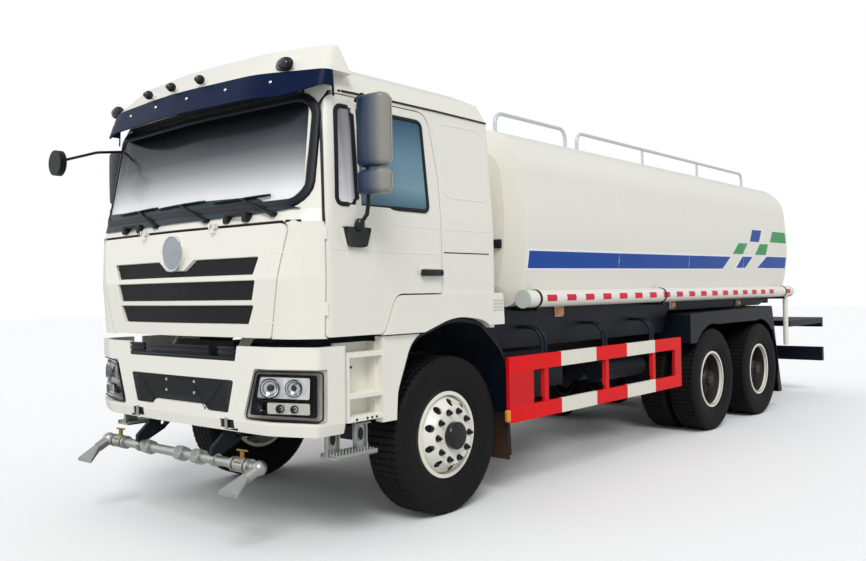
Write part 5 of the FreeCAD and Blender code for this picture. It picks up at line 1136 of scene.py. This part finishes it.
#        place behind the front axle, tyres' distances from the middle, body, tyre node, rim node
AXLES = {"front": (0.0, SINGLE, "wheel_front_{}", "tyre_front_{}", "rim_front_{}"),
         "middle": (MIDDLE_AXLE, TWIN, "wheels_middle_{}", "tyres_middle_{}", "rims_middle_{}"),
         "rear": (REAR_AXLE, TWIN, "wheels_rear_{}", "tyres_rear_{}", "rims_rear_{}")}
dull_rim = finish("dull_rim", "37322A", 0.6, tint=0.3, patch=8.0, grain=90.0, bump=0.08)
hub_dark = finish("hub_dark", "2A2622", 0.5, tint=0.3, patch=12.0, grain=90.0, bump=0.1)
NUTS, NUT_CIRCLE = 10, 0.1675
for axle, (aft, rows, wheel_body, tyre_node, rim_node) in AXLES.items():
    hub = at(0, aft, WHEEL_HEIGHT)
    bm = bmesh.new()
    for x in rows:
        part = bmesh.new()
        part.from_mesh(tyre_mesh)
        bmesh.ops.translate(part, vec=hub + Vector((x, 0, 0)), verts=part.verts[:])
        join(bm, part)
    tyres = pair(tyre_node.format("dressed"), bm, rubber, wheel_body, sharp=28)
    for made, side in zip(tyres, ("left", "right")):
        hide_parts(tyre_node.format(side))
    disc = surface(rim_node.format("left"))
    backs = [disc.ray_cast(hub + Vector((rows[-1] - 0.14, 0.213 * math.sin(turn), 0.213 * math.cos(turn))),
                           -INWARDS)[0] for turn in (math.tau * k / 40 for k in range(40))]
    behind = min(hit.x for hit in backs if hit is not None) - 0.006
    bm = bmesh.new()
    lathe(bm, [(-0.05, 0.2), (0.0, 0.2), (0.0, 0.236), (-0.05, 0.236), (-0.05, 0.2)],
          Vector((behind, hub.y, hub.z)), (1, 0, 0), 48)
    pair(axle + "_drum", bm, seal_rubber, wheel_body)
    bm, studs = bmesh.new(), bmesh.new()
    for i in range(NUTS):
        turn = math.tau * (i + 0.5) / NUTS
        start = hub + Vector((1.7, NUT_CIRCLE * math.sin(turn), NUT_CIRCLE * math.cos(turn)))
        hit = disc.ray_cast(start, INWARDS)[0]
        lathe(studs, [(-0.004, 0.024), (0.004, 0.024), (0.006, 0.02)], hit, (1, 0, 0), 16)
        rod(studs, hit, hit + Vector((0.024, 0, 0)), 0.0175, 0.0165, segments=6)
        rod(studs, hit, hit + Vector((0.036, 0, 0)), 0.009, segments=10)
    nose = disc.ray_cast(hub + Vector((1.7, 0, 0)), INWARDS)[0]
    if nose is None or axle != "front":
        nose = disc.ray_cast(hub + Vector((1.7, 0.075, 0)), INWARDS)[0] - Vector((0, 0.075, 0))
    if axle == "front":
        lathe(bm, [(-0.034, 0.094), (0.006, 0.094), (0.012, 0.089), (0.015, 0.07), (0.019, 0.066),
                   (0.021, 0.03), (0.022, 0.0)], nose, (1, 0, 0))
    else:
        lathe(bm, [(-0.01, 0.105), (0.03, 0.1), (0.05, 0.082), (0.085, 0.078), (0.088, 0.0)], nose, (1, 0, 0))
        for i in range(8):
            turn = math.tau * i / 8
            spot = nose + Vector((0.086, 0.062 * math.sin(turn), 0.062 * math.cos(turn)))
            rod(bm, spot, spot + Vector((0.012, 0, 0)), 0.009, segments=6)
        for side in ("left", "right"):
            coat(rim_node.format(side), dull_rim)
        lip = bmesh.new()
        lathe(lip, [(0.085, 0.268), (0.112, 0.271), (0.1195, 0.279), (0.121, 0.29), (0.1195, 0.299),
                    (0.112, 0.3005)], hub + Vector((rows[-1], 0, 0)), (1, 0, 0), 72)
        pair(axle + "_rim_lip", lip, cream_paint, wheel_body)
    hub_finish = glossy_black if axle == "front" else hub_dark
    pair(axle + "_hub_cap", bm, hub_finish, wheel_body)
    pair(axle + "_wheel_nuts", studs, hub_finish, wheel_body)
bpy.data.meshes.remove(tyre_mesh)

# ---------------- mud flaps
# Brown, road-stained rubber sheets that hang from the bands behind the front wheels.
# Each leans a little back towards its foot.
mud = graded("road_stained_rubber", 2, [(0.25, "4A2C0E"), (0.45, "3A2410"), (0.62, "14110F")], 0.75, tint=0.4,
             patch=7.0, grain=60.0, bump=0.15)
bm = bmesh.new()
block(bm, at(0.75, 0.631, 0.27), at(1.187, 0.64, 0.62), 0.002, 1)
for vert in bm.verts:
    vert.co.y += (0.62 - vert.co.z) * 0.0625
pair("mud_flap", bm, mud, "root")

# ---------------- rear end
# Raised studs of chequered steel plate on the platform, and a blank plate and two reflectors on the
# underrun guard. Each tail lamp has three moulded lenses: red, amber and clear.
DECK_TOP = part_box("rear_platform")[1].z
STUD_STEP = 0.041
chequer = finish("chequer_plate", "46525E", 0.35, tint=0.5, patch=5.0, grain=120.0, bump=0.06, Metallic=0.5)
bm = bmesh.new()
STUDS_ACROSS, STUDS_ALONG = 58, 34
for i in range(STUDS_ACROSS):
    for j in range(STUDS_ALONG):
        spot = at(-1.17 + STUD_STEP * i, 6.985 + STUD_STEP * j, DECK_TOP)
        turn = Matrix.Rotation(math.radians(45 if (i + j) % 2 else -45), 4, "Z")
        narrow = Matrix.Diagonal((0.014, 0.0045, 1, 1))
        bmesh.ops.create_cone(bm, cap_ends=False, segments=4, radius1=1, radius2=0.3, depth=0.003,
                              matrix=Matrix.Translation(spot + Vector((0, 0, 0.001))) @ turn @ narrow)
piece("chequer_studs", bm, chequer, "root")
guard_low, guard_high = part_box("underrun_guard")
bm = bmesh.new()
back, foot = guard_high.y, guard_low.z
block(bm, (-0.23, back - 0.006, foot + 0.012), (0.23, back + 0.004, foot + 0.13), 0.004)
piece("blank_rear_plate", bm, pale_film, "root")
bm = bmesh.new()
for x in (-1.1, 1.1):
    lathe(bm, [(-0.004, 0.0), (-0.004, 0.04), (0.006, 0.04), (0.008, 0.036), (0.008, 0.0)],
          (x, back, foot + 0.075), (0, 1, 0), 32)
piece("rear_reflectors", bm, reflective, "root")
lamp_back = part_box("tail_lamps")[1].y
red_lens = finish("red_lens", "A8121A", 0.2, tint=0.2, patch=40.0, grain=400.0, bump=0.2, Coat_Weight=0.6)
white_lens = finish("white_lens", "DDDDDA", 0.2, tint=0.1, patch=40.0, grain=400.0, bump=0.2, Coat_Weight=0.6)
for name, x0, x1, lens in (("stop", 0.84, 0.955, red_lens), ("turn", 0.962, 1.06, amber),
                           ("reverse", 1.067, 1.15, white_lens)):
    bm = bmesh.new()
    block(bm, (x0, lamp_back - 0.01, 0.968), (x1, lamp_back + 0.012, 1.046), 0.008, 3)
    pair("rear_lamp_" + name, bm, lens, "root")
coat("tail_lamps", black_plastic)

# ---------------- seats
# Two seats and a bunk, in grey woven cloth over foam, on moulded bases. Each pad is a subdivided
# box whose faces swell and whose sides pull in.
cloth = finish("seat_cloth", "4A4E57", 0.85, tint=0.25, patch=30.0, grain=900.0, bump=0.5, depth=0.002,
               Sheen_Weight=0.3)


def cushion(name, low, high, crown, lean=0.0):
    """A crowned foam pad whose sides pull in between its corners."""
    low, high = Vector(low), Vector(high)
    made = bmesh.new()
    bmesh.ops.create_cube(made, size=2.0)
    bmesh.ops.subdivide_edges(made, edges=made.edges[:], cuts=7, use_grid_fill=True)
    middle, half = (low + high) / 2, (high - low) / 2
    for vert in made.verts:
        a, b, c = vert.co
        swell = (1 - a * a) * (1 - b * b), (1 - b * b) * (1 - c * c), (1 - a * a) * (1 - c * c)
        tuck = 0.06 * (1 - c * c) * (a * a + b * b)
        out = [math.copysign(abs(side) > 0.99, side) for side in (a, b, c)]
        vert.co = middle + Vector((a * half.x * (1 - tuck) + crown * 0.4 * out[0] * swell[1],
                                   b * half.y * (1 - tuck) + crown * 0.4 * out[1] * swell[2],
                                   c * (half.z - crown * 0.5) + crown * 0.5 * out[2] * swell[0]))
        vert.co.y += lean * (vert.co.z - low.z)
    pad = piece(name, made, cloth, "cab", sharp=180)
    soften = pad.modifiers.new("soften", "SUBSURF")
    soften.levels = soften.render_levels = 1
    return pad


bm = bmesh.new()
SEAT_MIDDLE, BUNK_HALF = 0.52, 1.07
for x, side in ((-SEAT_MIDDLE, "right"), (SEAT_MIDDLE, "left")):
    block(bm, at(x - 0.19, -0.64, 1.392), at(x + 0.19, -0.24, 1.64), 0.02, 3)
    cushion("seat_cushion_" + side, at(x - 0.255, -0.695, 1.642), at(x + 0.255, -0.2, 1.788), 0.03)
    cushion("seat_back_" + side, at(x - 0.235, -0.29, 1.8), at(x + 0.235, -0.175, 2.43), 0.03, lean=0.17)
    cushion("head_rest_" + side, at(x - 0.12, -0.15, 2.437), at(x + 0.12, -0.075, 2.59), 0.02, lean=0.1)
block(bm, at(-BUNK_HALF, 0.02, 1.392), at(BUNK_HALF, 0.4, 1.74), 0.02, 3)
cushion("bunk_mattress", at(-BUNK_HALF, 0.02, 1.745), at(BUNK_HALF, 0.4, 1.89), 0.02)
bases = piece("seat_bases", bm, black_plastic, "cab")
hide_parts("seats")

# ---------------- handrails
# Thin galvanised tube, bent and welded to the tank's top, whitened by its zinc.
# Only its finish is set here: the solid's own mesh is shown.
pale_zinc = finish("pale_zinc", "D3D8DA", 0.4, tint=0.15, patch=14.0, grain=120.0, bump=0.08, Metallic=0.2)
coat("tank_rails", pale_zinc)
